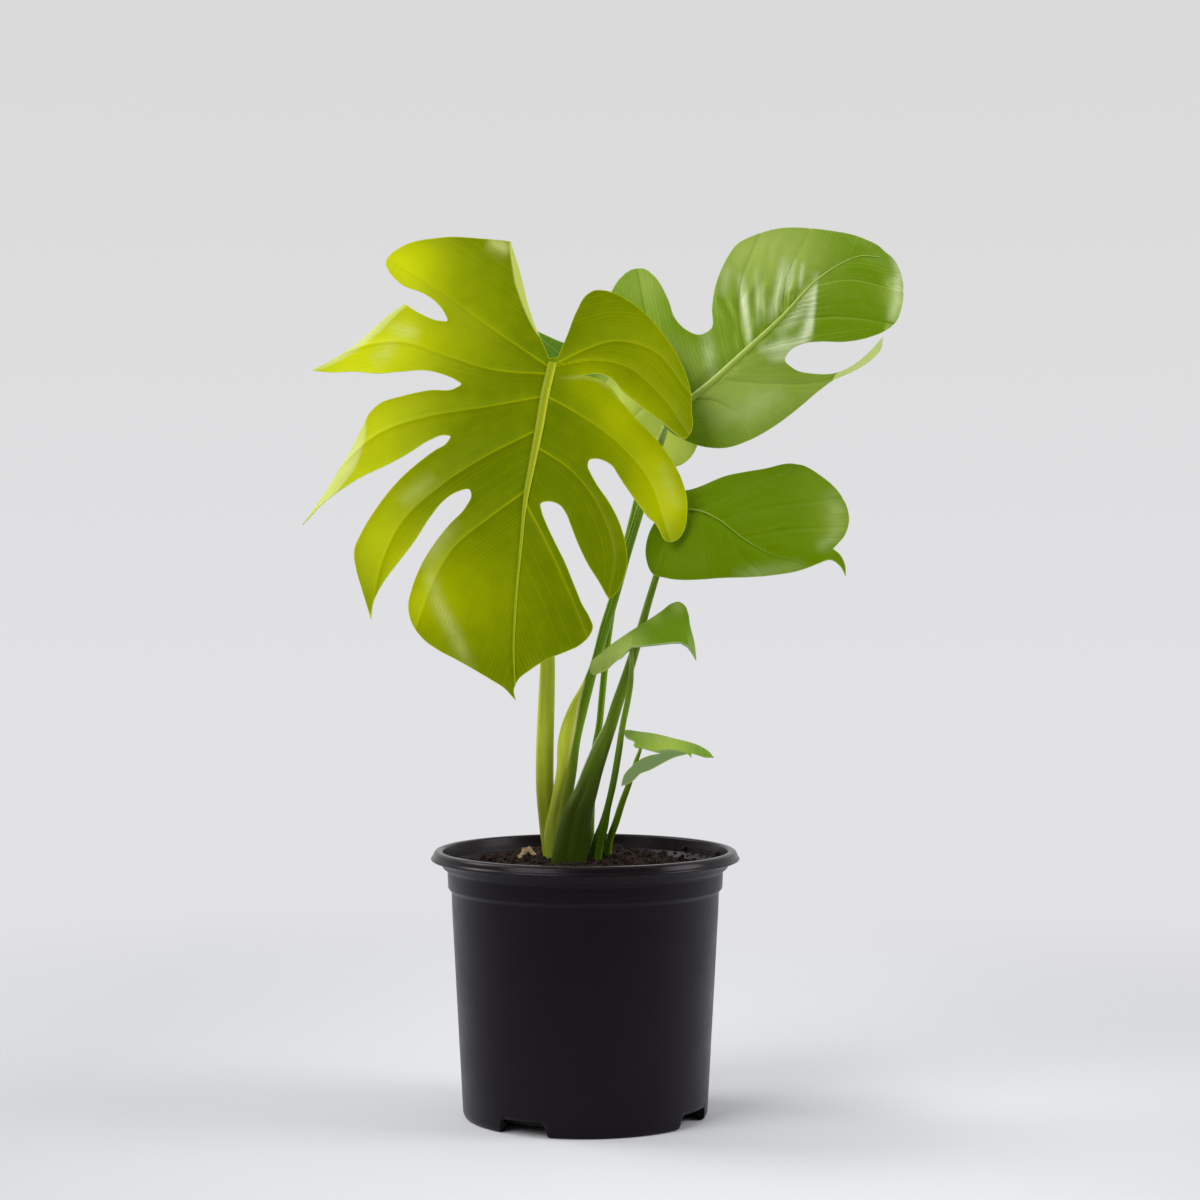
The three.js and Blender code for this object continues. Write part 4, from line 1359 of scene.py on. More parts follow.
    def marks(self, points: Array) -> dict[str, Array]:
        """Works out the values that the relief and the skin's colours read.

        Args:
            points: One (x, y) row of the front view for each vertex.

        Returns:
            Named values for each vertex.
        """
        marks = self.vein_marks(points)
        marks["rib_distance"] = np.abs(self.from_rib(points)[1])
        outline = self.outline_points()
        edge = smooth_through(np.vstack([outline, outline[:1]]), 0.6)
        rim = KDTree(len(edge))
        for number, (x, y) in enumerate(edge):
            rim.insert((x, y, 0.0), number)
        rim.balance()
        marks["edge_distance"] = np.array([rim.find((x, y, 0.0))[2] for x, y in points]) * VIEW.step
        painted_lighting, painted_sheen, turned = np.zeros((3, len(points)))
        # painted light and shade: soft round patches, lighter where the strength is above 0 and darker below
        for *place, radius, strength in self.painted_lighting:
            painted_lighting += strength * bell(np.linalg.norm(points - place, axis=1), radius)
        # painted sheen: streaks that taper towards their ends
        for *line, width, strength in self.painted_sheen:
            near, _, share = line_distance(points, np.array(line, float).reshape(-1, 2))
            painted_sheen += strength * np.sin(np.pi * share) ** 0.7 * bell(near, width)
        # the painted sheen is cleared for some 50 steps past each bend's fold
        for bend in self.bends:
            beyond = self.past(points, bend)
            painted_sheen *= 1 - unit(beyond / 3 + 0.5) * unit((50 - beyond) / 10)
        for roll in self.turned:
            turned = np.maximum(turned, roll.pale * roll.measure(points)[0])
        return marks | {"painted_lighting": painted_lighting, "painted_sheen": painted_sheen, "turned": turned}

    def build(self) -> None:
        """Cuts, shapes and thickens the blade, and adds its midrib."""
        bm = bmesh.new()
        bm.faces.new([bm.verts.new((x, y, 0.0)) for x, y in self.outline_points()])
        corners = np.array([vert.co[:2] for vert in bm.verts])
        for axis, (low, high) in enumerate(zip(corners.min(axis=0), corners.max(axis=0))):
            normal = Vector((1 - axis, axis, 0.0))
            for cut in np.arange(low + 0.37 * self.grid, high, self.grid):
                bmesh.ops.bisect_plane(bm, geom=[*bm.verts, *bm.edges, *bm.faces], dist=1e-4,
                                       plane_co=normal * cut, plane_no=normal)
        bmesh.ops.triangulate(bm, faces=[face for face in bm.faces if len(face.verts) > 4])
        points = np.array([vert.co[:2] for vert in bm.verts])
        marks = self.marks(points)
        layers = {name: bm.verts.layers.float.new(name) for name in marks}
        for vert, place in zip(bm.verts, self.surface(points) * MM):
            vert.co = place
        bm.normal_update()
        if sum(face.normal.y for face in bm.faces) > 0:
            bmesh.ops.reverse_faces(bm, faces=bm.faces)
            bm.normal_update()
        for name, layer in layers.items():
            for vert, value in zip(bm.verts, marks[name]):
                vert[layer] = value
        for vert, height in zip(bm.verts, self.relief.height(marks, points) + self.thickness / 2):
            vert.co += vert.normal * float(height) * MM
        for edge in bm.edges:
            edge.smooth = not edge.is_boundary
        front = set(bm.faces)
        bmesh.ops.solidify(bm, geom=bm.faces[:], thickness=self.thickness * MM)
        for face in bm.faces:
            face.smooth = True
            face.material_index = 0 if face in front else 1
        if self.rib_radius:
            self.add_rib(bm)
        for edge in bm.edges:
            if edge.is_manifold and edge.calc_face_angle() > math.radians(self.crease):
                edge.smooth = False
        materials = [skin.make() for skin in (self.finish, self.underside, self.rib_finish)]
        seat(finished_piece(self.name + "_blade", bm, materials), self.slot, self.name)

    def add_rib(self, bm: BMesh) -> None:
        """Adds the midrib to the blade: a tapering cord that stands out more on its strong side.

        Args:
            bm: The blade's mesh.
        """
        line = smooth_through(self.rib, 3.0)
        centre = self.surface(line)
        tangents = directions(np.gradient(centre, axis=0))
        sides = directions(np.cross(tangents, [0.0, -1.0, 0.0]))
        share = np.linspace(0, len(self.rib_shape) - 1, len(line))
        radius = abs(self.rib_radius) * np.interp(share, range(len(self.rib_shape)), self.rib_shape)
        angles = np.linspace(0, 2 * np.pi, 14, endpoint=False)
        up = np.sin(angles) * np.where(np.sin(angles) * self.rib_radius > 0, 0.62, 0.8)
        rings = rings_round(centre, sides, np.cross(sides, tangents),
                            np.outer(radius, np.cos(angles)), np.outer(radius, up))
        # painted highlight: strongest on the rib's left side and faint on both edges
        painted_rib_highlight = 0.15 * np.abs(np.cos(angles)) ** 3 + 0.85 * unit(np.cos(angles - np.radians(150))) ** 3
        for face in loft(bm, rings, {"painted_rib_highlight": np.tile(painted_rib_highlight, (len(line), 1))}):
            face.material_index = 2


# ---- the plant --------------------------------------------------------------------------------
LEFT, RIGHT = Side
GREEN_RIB = RibFinish("green_midrib", "#93ab30", "#b9cc70")
GREEN_UNDERSIDE = BladeFinish("green_leaf_underside", "#8bab50", "#b5cc7a", "#b9cf80", "#c5d890",
                              roughness=0.5)


class Monstera:
    """The plant: six stalks and six blades, with the young growth lime and the older leaves green."""

    def build(self) -> None:
        """Builds every stalk and blade in order."""
        leaves = (self.leaf_front, self.leaf_upper, self.leaf_middle,
                  self.leaf_back, self.leaf_small, self.leaf_lowest)
        for piece in [*self.stalks(), *(leaf() for leaf in leaves)]:
            piece.build()

    def stalks(self) -> list[Stalk]:
        """Lists the stalks, with their stations from the soil up.

        Returns:
            The six stalks.
        """
        return [
            Stalk("stalk_front", "stalk_olive",
                  StalkFinish("olive_petiole", "#bccb30", "#c6d340", "#c6d340", "#6f7812", "#c4cf6c"), [
                (553, 905, 17, 7, 5.5), (552, 862, 17, 7, 6), (548, 825, 17, 7.3, 6.4),
                (545, 788, 16, 7.4, 6.4), (545, 745, 15, 7.3, 6.2), (546.2, 707, 14, 6.9, 6),
                (547.4, 668, 13, 6.3, 5.7), (546.5, 620, 13, 5.8, 5.4), (541.5, 560, 13, 5.3, 5.1),
                (535.5, 525, 13, 5.1, 5), (533, 490, 13.5, 5, 4.9), (537, 440, 14.5, 4.8, 4.7),
                (546, 400, 15, 4.5, 4.5), (551, 380, 13.5, 4.4, 4.4), (552.3, 370, 8.5, 4.1, 4.1),
                (552.3, 364, 2.2, 3.8, 3.8),
            ], (Groove(248, 0.14, 22, 500, 900),), sheath_top=500, sheath_right=-20),
            Stalk("stalk_upper", "stalk_pale",
                  StalkFinish("yellow_green_petiole", "#6e9410", "#7d9f2e", "#e4f04a", "#68721e",
                              "#f2f6b4"), [
                (560, 905, 3, 10, 5), (559, 862, 3, 10.3, 5.4), (557, 838, 3.5, 10.8, 5.4),
                (561, 805, 5, 8.9, 5), (566.5, 771, 7, 8.4, 4.8), (569.5, 739, 9, 9.2, 4.6),
                (579, 707, 12, 7.6, 4.2), (585.5, 691, 13, 5.6, 4), (591, 676, 14, 4.2, 4),
                (606, 624, 19, 4.2, 4), (613.5, 600, 22, 4, 3.9), (627, 553, 27, 3.7, 3.6),
                (641.5, 506, 34, 3.5, 3.4), (652.5, 470, 41, 3.4, 3.3), (660, 443, 48, 3.3, 3.2),
                (665.5, 428, 51.5, 3.1, 3.1), (669.5, 418, 51.5, 2.9, 2.9), (671.5, 412, 48.7, 2.6, 2.6),
            ], (Groove(None, 0.22, 12, 680, 840), Groove(238, 0.3, 12, 500, 690)), sheath_top=674,
                sheath_edge=((585.6, 677), (580.5, 700), (576.5, 730), (570.5, 760), (562, 790),
                             (556.5, 820), (551, 860)),
                margin=(678, 770), margin_angle=None, margin_shift=-10.0, margin_width=8.0,
                pale_top=0.8, sides=72),
            Stalk("stalk_middle", "stalk_green",
                  StalkFinish("deep_green_petiole", "#566f10", "#7f9d2c", "#6c8a1a", "#273604", "#dfe6c4",
                              specular=0.45), [
                (569, 905, -10, 12.5, 5.4), (569, 862, -10, 14.4, 5.8), (574.5, 830, -10, 13.6, 5.4),
                (579, 809, -10, 11.6, 5.2), (585.5, 793, -9.5, 9.6, 5), (592.6, 771, -9, 8.3, 4.8),
                (600.7, 749, -8.5, 7.1, 4.6), (610, 727, -8, 5.2, 4.3), (616.9, 705, -8, 4.8, 4.1),
                (624.4, 683, -7, 4.4, 3.9), (632.2, 659, -6, 4, 3.7), (648.5, 602, -4, 3, 3),
                (655.2, 580, -3, 2.8, 2.8), (665, 548, 1, 2.7, 2.7), (674, 525, 5, 2.6, 2.6),
                (679.5, 514, 6, 2.5, 2.5), (682.7, 509, 2.3, 2.3, 2.3),
            ], (Groove(258, 0.2, 15, 770, 890),), margin=(728, 800)),
            Stalk("stalk_back", "stalk_green",
                  StalkFinish("mid_green_petiole", "#6b8e12", "#86ac1a", "#86ac1a", "#5c7c10", "#b9c97c"), [
                (590, 905, 14, 3.3, 3.2), (590, 850, 14, 3.3, 3.2), (591.5, 800, 15, 3.1, 3),
                (595.5, 746, 18, 2.9, 2.9), (599, 727, 20, 2.8, 2.8), (602, 697, 23, 2.8, 2.8),
                (604.5, 671, 26, 2.8, 2.8), (608, 640, 30, 2.7, 2.7), (612, 612, 34, 2.7, 2.7),
                (621, 565, 43, 2.6, 2.6), (633, 515, 55, 2.5, 2.5), (643, 475, 66, 2.4, 2.4),
                (648.5, 456, 72, 2.3, 2.3), (651, 447, 78, 2.2, 2.2),
            ]),
            Stalk("stalk_small", "stalk_green",
                  StalkFinish("young_petiole", "#58780f", "#8dae34", "#58780f", "#42600a", "#a9bd6a"), [
                (595, 905, 2, 5, 3.8), (595.2, 858, 2, 5.7, 4), (598, 842, 0.5, 5.2, 3.8),
                (603, 827, -2, 4.2, 3.4), (607.3, 809, -5, 2.9, 2.8), (612.8, 785.4, -8, 2.8, 2.8),
                (619, 750, -12, 2.7, 2.6), (622.5, 726.7, -16, 2.5, 2.5), (628.4, 697.4, -21, 2.4, 2.3),
                (630.8, 682.7, -23, 2.2, 2.2), (631.3, 668, -26, 2, 2), (631.4, 657, -28.5, 1.8, 1.8),
                (631.3, 649.8, -30, 1.7, 1.7),
            ], (Groove(290, 0.25, 16, 812, 900),), pale_top=0.5),
            Stalk("stalk_lowest", "stalk_green",
                  StalkFinish("seedling_petiole", "#6c9014", "#8bac28", "#6c9014", "#5a7a12", "#b9c97c"), [
                (608.5, 905, 12, 2.9, 2.9), (608, 858, 11, 3, 3), (609.5, 841, 8, 3, 3),
                (616, 822, 2, 2.9, 2.9), (622, 803, -5, 2.7, 2.7), (628.5, 785.4, -12, 2.4, 2.4),
                (633, 772, -17, 2.1, 2.1), (636.4, 760.5, -21, 1.8, 1.8), (639, 753.5, -24, 1.5, 1.5),
                (640.6, 748.6, -26.5, 1.4, 1.4),
            ], (Groove(262, 0.14, 24, 760, 900),)),
        ]

    def leaf_front(self) -> Blade:
        """Describes the large lime leaf that hangs in front.

        Returns:
            The leaf's blade.
        """
        rib = [
            (552.5, 363), (545, 395), (540, 424), (532, 465), (526, 496), (521, 544), (515, 614),
            (513.5, 650), (515, 686),
        ]
        outline = [
            (549, 358, TIP), (540, 335), (530, 307), (520, 270), (511, 241, TIP), (495, 239), (470, 237),
            (440, 237), (415, 241), (400, 248), (389, 257), (386, 264), (390, 273), (400, 283), (425, 294),
            (437, 303), (445, 314), (447, 320), (440, 320), (420, 313), (404, 303, TIP), (393, 310),
            (373, 329), (345, 352), (313, 371, TIP), (330, 372), (355, 371), (380, 373), (400, 371),
            (425, 370), (442, 374), (456, 380), (461, 384), (455, 388), (430, 390), (400, 396), (380, 403),
            (370, 412), (363, 426), (355, 442), (345, 460), (333, 480), (319, 503), (303, 526, TIP),
            (325, 502), (345, 487), (365, 475), (390, 463), (410, 452), (430, 440), (443, 435), (450, 436),
            (447, 442), (435, 450), (420, 461), (405, 474), (390, 490), (375, 510), (362, 530), (354, 550),
            (356, 570), (362, 590), (371, 620, TIP), (373, 605), (377, 594), (385, 580), (400, 560),
            (415, 540), (430, 517), (444, 500), (456, 492), (470, 490), (471, 494), (465, 507), (450, 523),
            (435, 542), (420, 567), (411, 590), (408, 603), (411, 621), (422, 638), (438, 650), (455, 659),
            (473, 669), (490, 679), (504, 688), (516, 701, TIP), (514, 690), (518, 680), (530, 670),
            (548, 659), (565, 652), (580, 645), (590, 635), (593, 627), (590, 618), (582, 604), (575, 587),
            (565, 562), (555, 542), (547, 525), (542, 512), (541, 503), (547, 501), (554, 502), (560, 505),
            (566, 513), (571, 525), (578, 543), (588, 564), (598, 580), (609, 600, TIP), (617, 592),
            (623, 580), (627, 562), (626, 546), (618, 519), (608, 500), (597, 484), (591, 473), (588, 465),
            (590, 459), (596, 458), (604, 460), (612, 465), (618, 474), (625, 485), (641, 508), (649, 518),
            (655, 523), (660, 531), (664, 539), (669, 542), (677, 540), (684, 531), (687, 515), (687, 494),
            (682, 478), (674, 463), (658, 441), (636, 418), (622, 402), (612, 388), (600, 379),
            (583, 375, TIP), (598, 373), (610, 377), (623, 391), (640, 405), (661, 421), (675, 433),
            (685, 439), (691, 432), (692, 410), (689, 385), (680, 360), (665, 335), (645, 312), (622, 296),
            (605, 290), (594, 290), (586, 295), (577, 310), (567, 335), (558, 357, TIP),
        ]
        veins = (
            (RIGHT, [(546, 365), (494, 330), (447, 296), (395, 263)]),
            (RIGHT, [(547, 374), (494, 370), (449, 357), (402, 342), (345, 352), (312, 371)]),
            (RIGHT, [(540, 397), (484, 407), (426, 417), (386, 430), (345, 462), (303, 526)]),
            (RIGHT, [(529, 434), (484, 457), (439, 487), (402, 522), (383, 560), (371, 620)]),
            (RIGHT, [(524, 492), (486, 520), (453, 548), (432, 585), (420, 618)]),
            (LEFT, [(557, 364), (582, 351), (615, 341), (655, 352), (686, 390)]),
            (LEFT, [(556, 366), (598, 360), (625, 366), (660, 395), (688, 434)]),
            (LEFT, [(548, 397), (578, 414), (620, 445), (645, 474), (669, 538)]),
            (LEFT, [(537, 447), (572, 471), (598, 505), (614, 560), (609, 592)]),
            (LEFT, [(524, 500), (545, 540), (570, 595), (585, 632)]),
        )
        # the edges roll away, and their pale colour is a painted sheen
        turned = (
            RolledEdge(((511, 241), (520, 270), (530, 307), (540, 335)), 9.5, 3.4, 0.4, 0.8),
            RolledEdge(((408, 301), (393, 310), (373, 329), (345, 352), (313, 371)), 7.5, 2.6, 0.35, 1.2),
            RolledEdge(
                ((364, 416), (355, 442), (345, 460), (333, 480), (319, 503), (303, 526)), 14, 5.0, 0.4, 1.2
            ),
        )
        # painted light, strongest on the left lobes: x, y, radius and strength
        painted_lighting = (
            (395, 262, 42, 0.62), (432, 262, 40, 0.18), (340, 355, 50, 0.68), (405, 340, 42, 0.5),
            (470, 335, 40, 0.2), (375, 430, 50, 0.46), (345, 480, 45, 0.32), (375, 540, 50, 0.42),
            (415, 600, 40, 0.33), (470, 600, 60, 0.22), (490, 280, 40, 0.06), (668, 505, 36, 0.6),
            (622, 418, 30, 0.4), (652, 460, 28, 0.35), (672, 395, 40, 0.15), (620, 320, 40, 0.08),
            (590, 378, 26, 0.28), (655, 345, 30, 0.14), (440, 405, 36, 0.1), (525, 400, 30, 0.05),
        )
        # painted sheen: streaks as places along each, width and strength
        painted_sheen = (
            (488, 236, 512, 250, 8, 0.9), (386, 326, 422, 336, 8, 0.45), (370, 364, 398, 342, 7, 0.4),
            (398, 506, 436, 474, 8, 0.3), (452, 514, 420, 570, 10, 0.45),
            (426, 564, 438, 604, 454, 634, 472, 672, 6.5, 0.55), (662, 460, 680, 512, 7, 0.2),
            (556, 378, 583, 376.5, 600, 380.5, 612, 389.5, 622, 403, 1.6, 0.35),
        )
        return Blade(
            "leaf_front", "blade_lime", base=(552, 363), toward=(516, 702), depth=0.0, lean=-0.42,
            bow=0.0005, back_bow=0.0008, left=Half(-0.1, 0.0022), right=Half(-0.12, 0.002), rib=rib,
            rib_radius=3.7, outline=outline,
            finish=BladeFinish(
                "young_lime_leaf", "#687c00", "#d8e000", "#c3c400", "#cdd61c", turned="#c0ca66",
                painted_sheen="#c9d27c", tint="#e4ec60", roughness=0.4, specular=0.14, vein_share=0.38,
                vein_width=1.25, vein_depth=-3.0
            ),
            underside=BladeFinish(
                "young_lime_leaf_underside", "#9cb04a", "#c0cf6a", "#c9d68a", "#d3dd88", roughness=0.5
            ),
            rib_finish=RibFinish("lime_midrib", "#849202", "#c0ca10", 0.3, 0.16),
            relief=Relief(-3.0, vein_rise=0.5, wave=1.4), veins=veins, turned=turned, painted_lighting=painted_lighting,
            painted_sheen=painted_sheen, rib_shape=(1.0, 1.0, 0.88, 0.66, 0.38, 0.3, 0.26, 0.22, 0.14), grid=1.5,
        )

    def leaf_upper(self) -> Blade:
        """Describes the glossy quilted leaf at the upper right.

        Returns:
            The leaf's blade.
        """
        rib = [
            (672, 411), (693, 397), (746, 351), (782, 317), (819, 278), (838, 265), (860, 256), (880, 257),
        ]
        outline = [
            (668, 407, TIP), (640, 388), (615, 360), (604, 325), (611, 293), (621, 278), (632, 270),
            (644, 269), (654, 276), (668, 299), (675, 318), (685, 329), (700, 335), (711, 329), (712, 308),
            (715, 288), (725, 263), (738, 244), (755, 235), (780, 229), (806, 228), (835, 232), (858, 237),
            (880, 247), (896, 263), (903, 285), (902, 305), (895, 323), (885, 331), (870, 337), (845, 342),
            (820, 342), (803, 344), (790, 351), (785, 360), (794, 369), (815, 374), (835, 373), (850, 367),
            (866, 355), (883, 337, TIP), (881, 349), (870, 361), (853, 371), (837, 378), (820, 390),
            (800, 407), (775, 426), (750, 440), (725, 448), (700, 446), (682, 439), (667, 429), (661, 419),
        ]
        veins = (
            (LEFT, [(678, 405), (662, 370), (648, 320), (640, 278)]),
            (LEFT, [(746, 349), (740, 315), (742, 281), (757, 243)]),
            (LEFT, [(782, 317), (787, 280), (806, 238)]),
            (RIGHT, [(690, 400), (715, 402), (740, 418), (750, 436)]),
            (RIGHT, [(714, 380), (768, 384), (815, 383), (845, 374), (885, 345)]),
            (RIGHT, [(765, 333), (805, 320), (850, 318), (893, 325)]),
            (RIGHT, [(812, 286), (850, 280), (895, 290)]),
        )
        turned = (
            RolledEdge(
                ((858, 237), (880, 247), (896, 263), (903, 285), (902, 305), (895, 323), (885, 331)), 26, 6,
                0.55, 0.0
            ),
            RolledEdge(((834, 379), (853, 371), (870, 361), (880, 350), (884, 336)), 14, -3, 0.6, 1.4),
        )
        # painted light: x, y, radius and strength
        painted_lighting = (
            (765, 252, 48, 0.6), (735, 255, 24, 0.3), (800, 250, 36, 0.3), (752, 398, 46, 0.6),
            (712, 400, 18, 0.3), (648, 280, 26, 0.4), (892, 296, 12, 0.4), (820, 395, 30, 0.35),
        )
        # painted sheen: streaks as places along each, width and strength
        painted_sheen = (
            (740, 272, 743, 300, 747, 326, 751, 350, 3.4, 1.0), (745, 276, 749, 318, 2, 0.4),
            (756, 268, 758, 300, 758, 330, 2.8, 0.55), (763, 280, 764, 326, 1.8, 0.4),
            (784, 256, 779, 288, 770, 324, 4.4, 0.8), (789, 262, 786, 296, 2, 0.6),
            (795, 256, 790, 292, 2.4, 0.55), (803, 262, 800, 290, 2.2, 0.7),
            (819, 270, 815, 296, 811, 318, 804, 346, 5, 1.15), (812, 284, 800, 312, 776, 338, 6, 0.75),
            (816, 320, 800, 342, 774, 348, 756, 352, 6.5, 0.9), (804, 352, 788, 356, 766, 360, 5, 0.5),
            (704, 326, 709, 350, 714, 384, 6, 0.45), (892, 252, 899, 272, 897, 300, 889, 322, 5, 0.6),
            (706, 425, 740, 412, 790, 388, 12, 0.2), (729, 262, 722, 300, 5, 0.3),
        )
        return Blade(
            "leaf_upper", "blade_green", base=(672, 411), toward=(850, 250), depth=45.0, lean=0.0,
            bow=0.0008, back_bow=0.0008, left=Half(0.42, 0.0011), right=Half(-0.33, 0.0013), rib=rib,
            rib_radius=2.9, outline=outline,
            finish=BladeFinish(
                "glossy_green_leaf", "#668803", "#a4b85a", "#a4bb4c", "#a9bd5a", painted_sheen="#cddaab",
                tint="#dcec84", roughness=0.27, specular=0.4, fine_share=0.2, vein_share=0.4,
                vein_width=0.9
            ),
            underside=GREEN_UNDERSIDE,
            rib_finish=GREEN_RIB,
            relief=Relief(1.4, ripple=1.1, ripple_place=(776, 306, 44), wave=1.0), veins=veins,
            turned=turned, painted_lighting=painted_lighting, painted_sheen=painted_sheen, bends=((818, 278, 812, 345, 0.22),),
            rib_shape=(1.0, 1.0, 0.9, 0.65, 0.38, 0.16, 0.1), grid=1.5,
        )

    def leaf_middle(self) -> Blade:
        """Describes the rounded green leaf at the right.

        Returns:
            The leaf's blade.
        """
        rib = [(683, 509), (703, 512), (719, 520), (744, 539), (774, 555), (788, 559), (800, 561)]
        outline = [
            (679, 508, TIP), (665, 505), (661, 498), (672, 492), (688, 490), (727, 476), (768, 468),
            (785, 464), (797, 464), (823, 478), (838, 492), (847, 508), (849, 521), (845, 535),
            (833, 549, TIP), (840, 555), (845, 565), (846, 576, TIP), (840, 566), (831, 560), (819, 563),
            (801, 570), (774, 575), (723, 578), (666, 578), (653, 574), (646, 558), (647, 540), (656, 521),
        ]
        veins = (
            (LEFT, [(695, 510), (735, 494), (785, 470)]),
            (LEFT, [(719, 520), (775, 507), (838, 500)]),
            (LEFT, [(744, 538), (790, 530), (843, 528)]),
            (RIGHT, [(690, 511), (668, 535), (655, 568)]),
            (RIGHT, [(706, 514), (702, 545), (706, 575)]),
            (RIGHT, [(728, 527), (738, 552), (760, 573)]),
        )
        # painted light: x, y, radius and strength
        painted_lighting = ((835, 520, 22, 0.4), (815, 480, 25, 0.12), (690, 560, 30, 0.1))
        # painted sheen: streaks as places along each, width and strength
        painted_sheen = (
            (828, 488, 837, 512, 838, 544, 9, 0.28), (815, 550, 840, 534, 6, 0.25),
            (730, 576, 810, 568, 8, 0.25),
        )
        return Blade(
            "leaf_middle", "blade_green", base=(683, 509), toward=(830, 560), depth=0.0, lean=-0.15,
            bow=0.0, back_bow=0.0, left=Half(0.85, 0.002), right=Half(-0.7, 0.004), rib=rib,
            rib_radius=1.15, outline=outline,
            finish=BladeFinish(
                "smooth_green_leaf", "#5d7b00", "#8fa63c", "#839c28", "#93aa3a", painted_sheen="#b9c98c",
                tint="#d0e450", roughness=0.3, specular=0.15, vein_share=0.09, fine_share=0.08
            ),
            underside=GREEN_UNDERSIDE,
            rib_finish=RibFinish("soft_green_midrib", "#769616", "#95ae44", specular=0.2),
            relief=Relief(0.6, ripple=0.3, ripple_place=(745, 520, 60), wave=0.6), veins=veins, painted_lighting=painted_lighting,
            painted_sheen=painted_sheen, grid=1.6,
        )

    def leaf_back(self) -> Blade:
        """Describes the pale underside of the leaf at the back.

        Returns:
            The leaf's blade.
        """
        rib = [(651, 446), (630, 415), (600, 385), (562, 355), (530, 330)]
        outline = [
            (651, 444, TIP), (660, 458), (676, 466), (690, 458), (697, 446), (698, 425), (685, 392),
            (660, 366), (630, 352), (600, 346), (575, 345), (562, 342), (546, 335), (520, 322, TIP),
            (532, 352), (552, 392), (575, 425), (600, 450), (622, 462), (640, 460),
        ]
        veins = (
            (RIGHT, [(648, 440), (672, 430), (693, 440)]),
            (RIGHT, [(632, 418), (660, 395), (675, 385)]),
            (RIGHT, [(604, 388), (615, 365), (622, 352)]),
            (LEFT, [(646, 438), (625, 442), (618, 458)]),
            (LEFT, [(628, 412), (600, 415), (585, 432)]),
            (LEFT, [(600, 385), (578, 385), (560, 395)]),
        )
        # painted light, as if lit through from behind: x, y, radius and strength
        painted_lighting = ((668, 448, 40, 1.0), (620, 400, 30, 0.85))
        return Blade(
            "leaf_back", "blade_green", base=(651, 446), toward=(520, 322), depth=80.0, lean=0.45, bow=0.0,
            back_bow=-0.001, left=Half(0.1, -0.002), right=Half(0.1, -0.002), rib=rib, rib_radius=-1.6,
            outline=outline,
            finish=BladeFinish(
                "back_leaf_underside", "#5f8e16", "#f0fa7a", "#c9dc80", "#d5e58c", roughness=0.5,
                vein_share=0.35
            ),
            underside=BladeFinish(
                "smooth_green_leaf", "#5b7800", "#8fa63c", "#93aa34", "#a3b84a", roughness=0.3,
                vein_share=0.4
            ),
            rib_finish=GREEN_RIB,
            relief=Relief(0.6, wave=0.6), veins=veins, painted_lighting=painted_lighting,
        )

    def leaf_small(self) -> Blade:
        """Describes the small folded leaf between the stalks.

        Returns:
            The leaf's blade.
        """
        rib = [
            (590, 675), (607, 669), (622, 656), (631, 647), (650, 645), (672, 642.5), (681, 642.5),
            (688, 646.5), (692.5, 652.5), (697, 660),
        ]
        outline = [
            (628.5, 649, TIP), (626, 653), (622, 657), (615, 661), (607, 669), (599, 674), (591, 673),
            (590, 664), (601, 653), (625, 635), (650, 619), (662, 611), (671, 604), (679, 602), (685, 606),
            (688, 613), (690, 625), (694, 641), (697, 660, TIP), (690, 671), (672, 684), (650, 691),
            (630, 692), (612, 690), (605, 684), (610, 676), (621, 669),
        ]
        # painted light, strongest on the pale left end: x, y, radius and strength
        painted_lighting = ((598, 664, 24, 1.0), (625, 648, 20, 0.5), (678, 604, 9, 0.5), (655, 616, 9, 0.3))
        return Blade(
            "leaf_small", "blade_green", base=(631, 647), toward=(700, 647), depth=-30.0, lean=0.05,
            bow=0.0, back_bow=0.0, left=Half(0.6, 0.003), right=Half(folded=True), rib=rib, rib_radius=0.0,
            outline=outline,
            finish=BladeFinish(
                "small_green_leaf", "#678a0c", "#c0d470", "#a9bd5a", "#a9bd5a", roughness=0.34,
                fine_share=0.05
            ),
            underside=BladeFinish(
                "small_leaf_underside", "#7da24c", "#a5c472", "#b9cf80", "#c5d890", roughness=0.5
            ),
            rib_finish=GREEN_RIB,
            relief=Relief(0.0, wave=0.4), painted_lighting=painted_lighting, grid=1.3,
        )

    def leaf_lowest(self) -> Blade:
        """Describes the lowest leaf, held level above the lip.

        Returns:
            The leaf's blade.
        """
        rib = [(641, 747), (661, 752), (690, 752), (714, 757)]
        outline = [
            (661, 753, TIP), (650, 750), (641, 747, TIP), (637, 747.5), (633.5, 744.5, TIP), (634.5, 742.5),
            (626, 737), (624, 732), (642, 732), (676, 739), (702, 747), (710, 752), (714, 757, TIP),
            (706, 757), (696, 754, TIP), (692, 753), (691.5, 757.5, TIP), (687.5, 753.5, TIP), (675, 757),
            (663, 763), (650, 770), (640, 774), (634, 780), (628, 784), (621, 786, TIP), (624, 775),
            (632, 766), (641, 759), (651, 755),
        ]
        # the near half takes the underside's grey-green, darkened as painted shade
        turned = (RolledEdge(((690, 757), (670, 763), (645, 775), (621, 786)), 22, 0, 0.5, 1.5),)
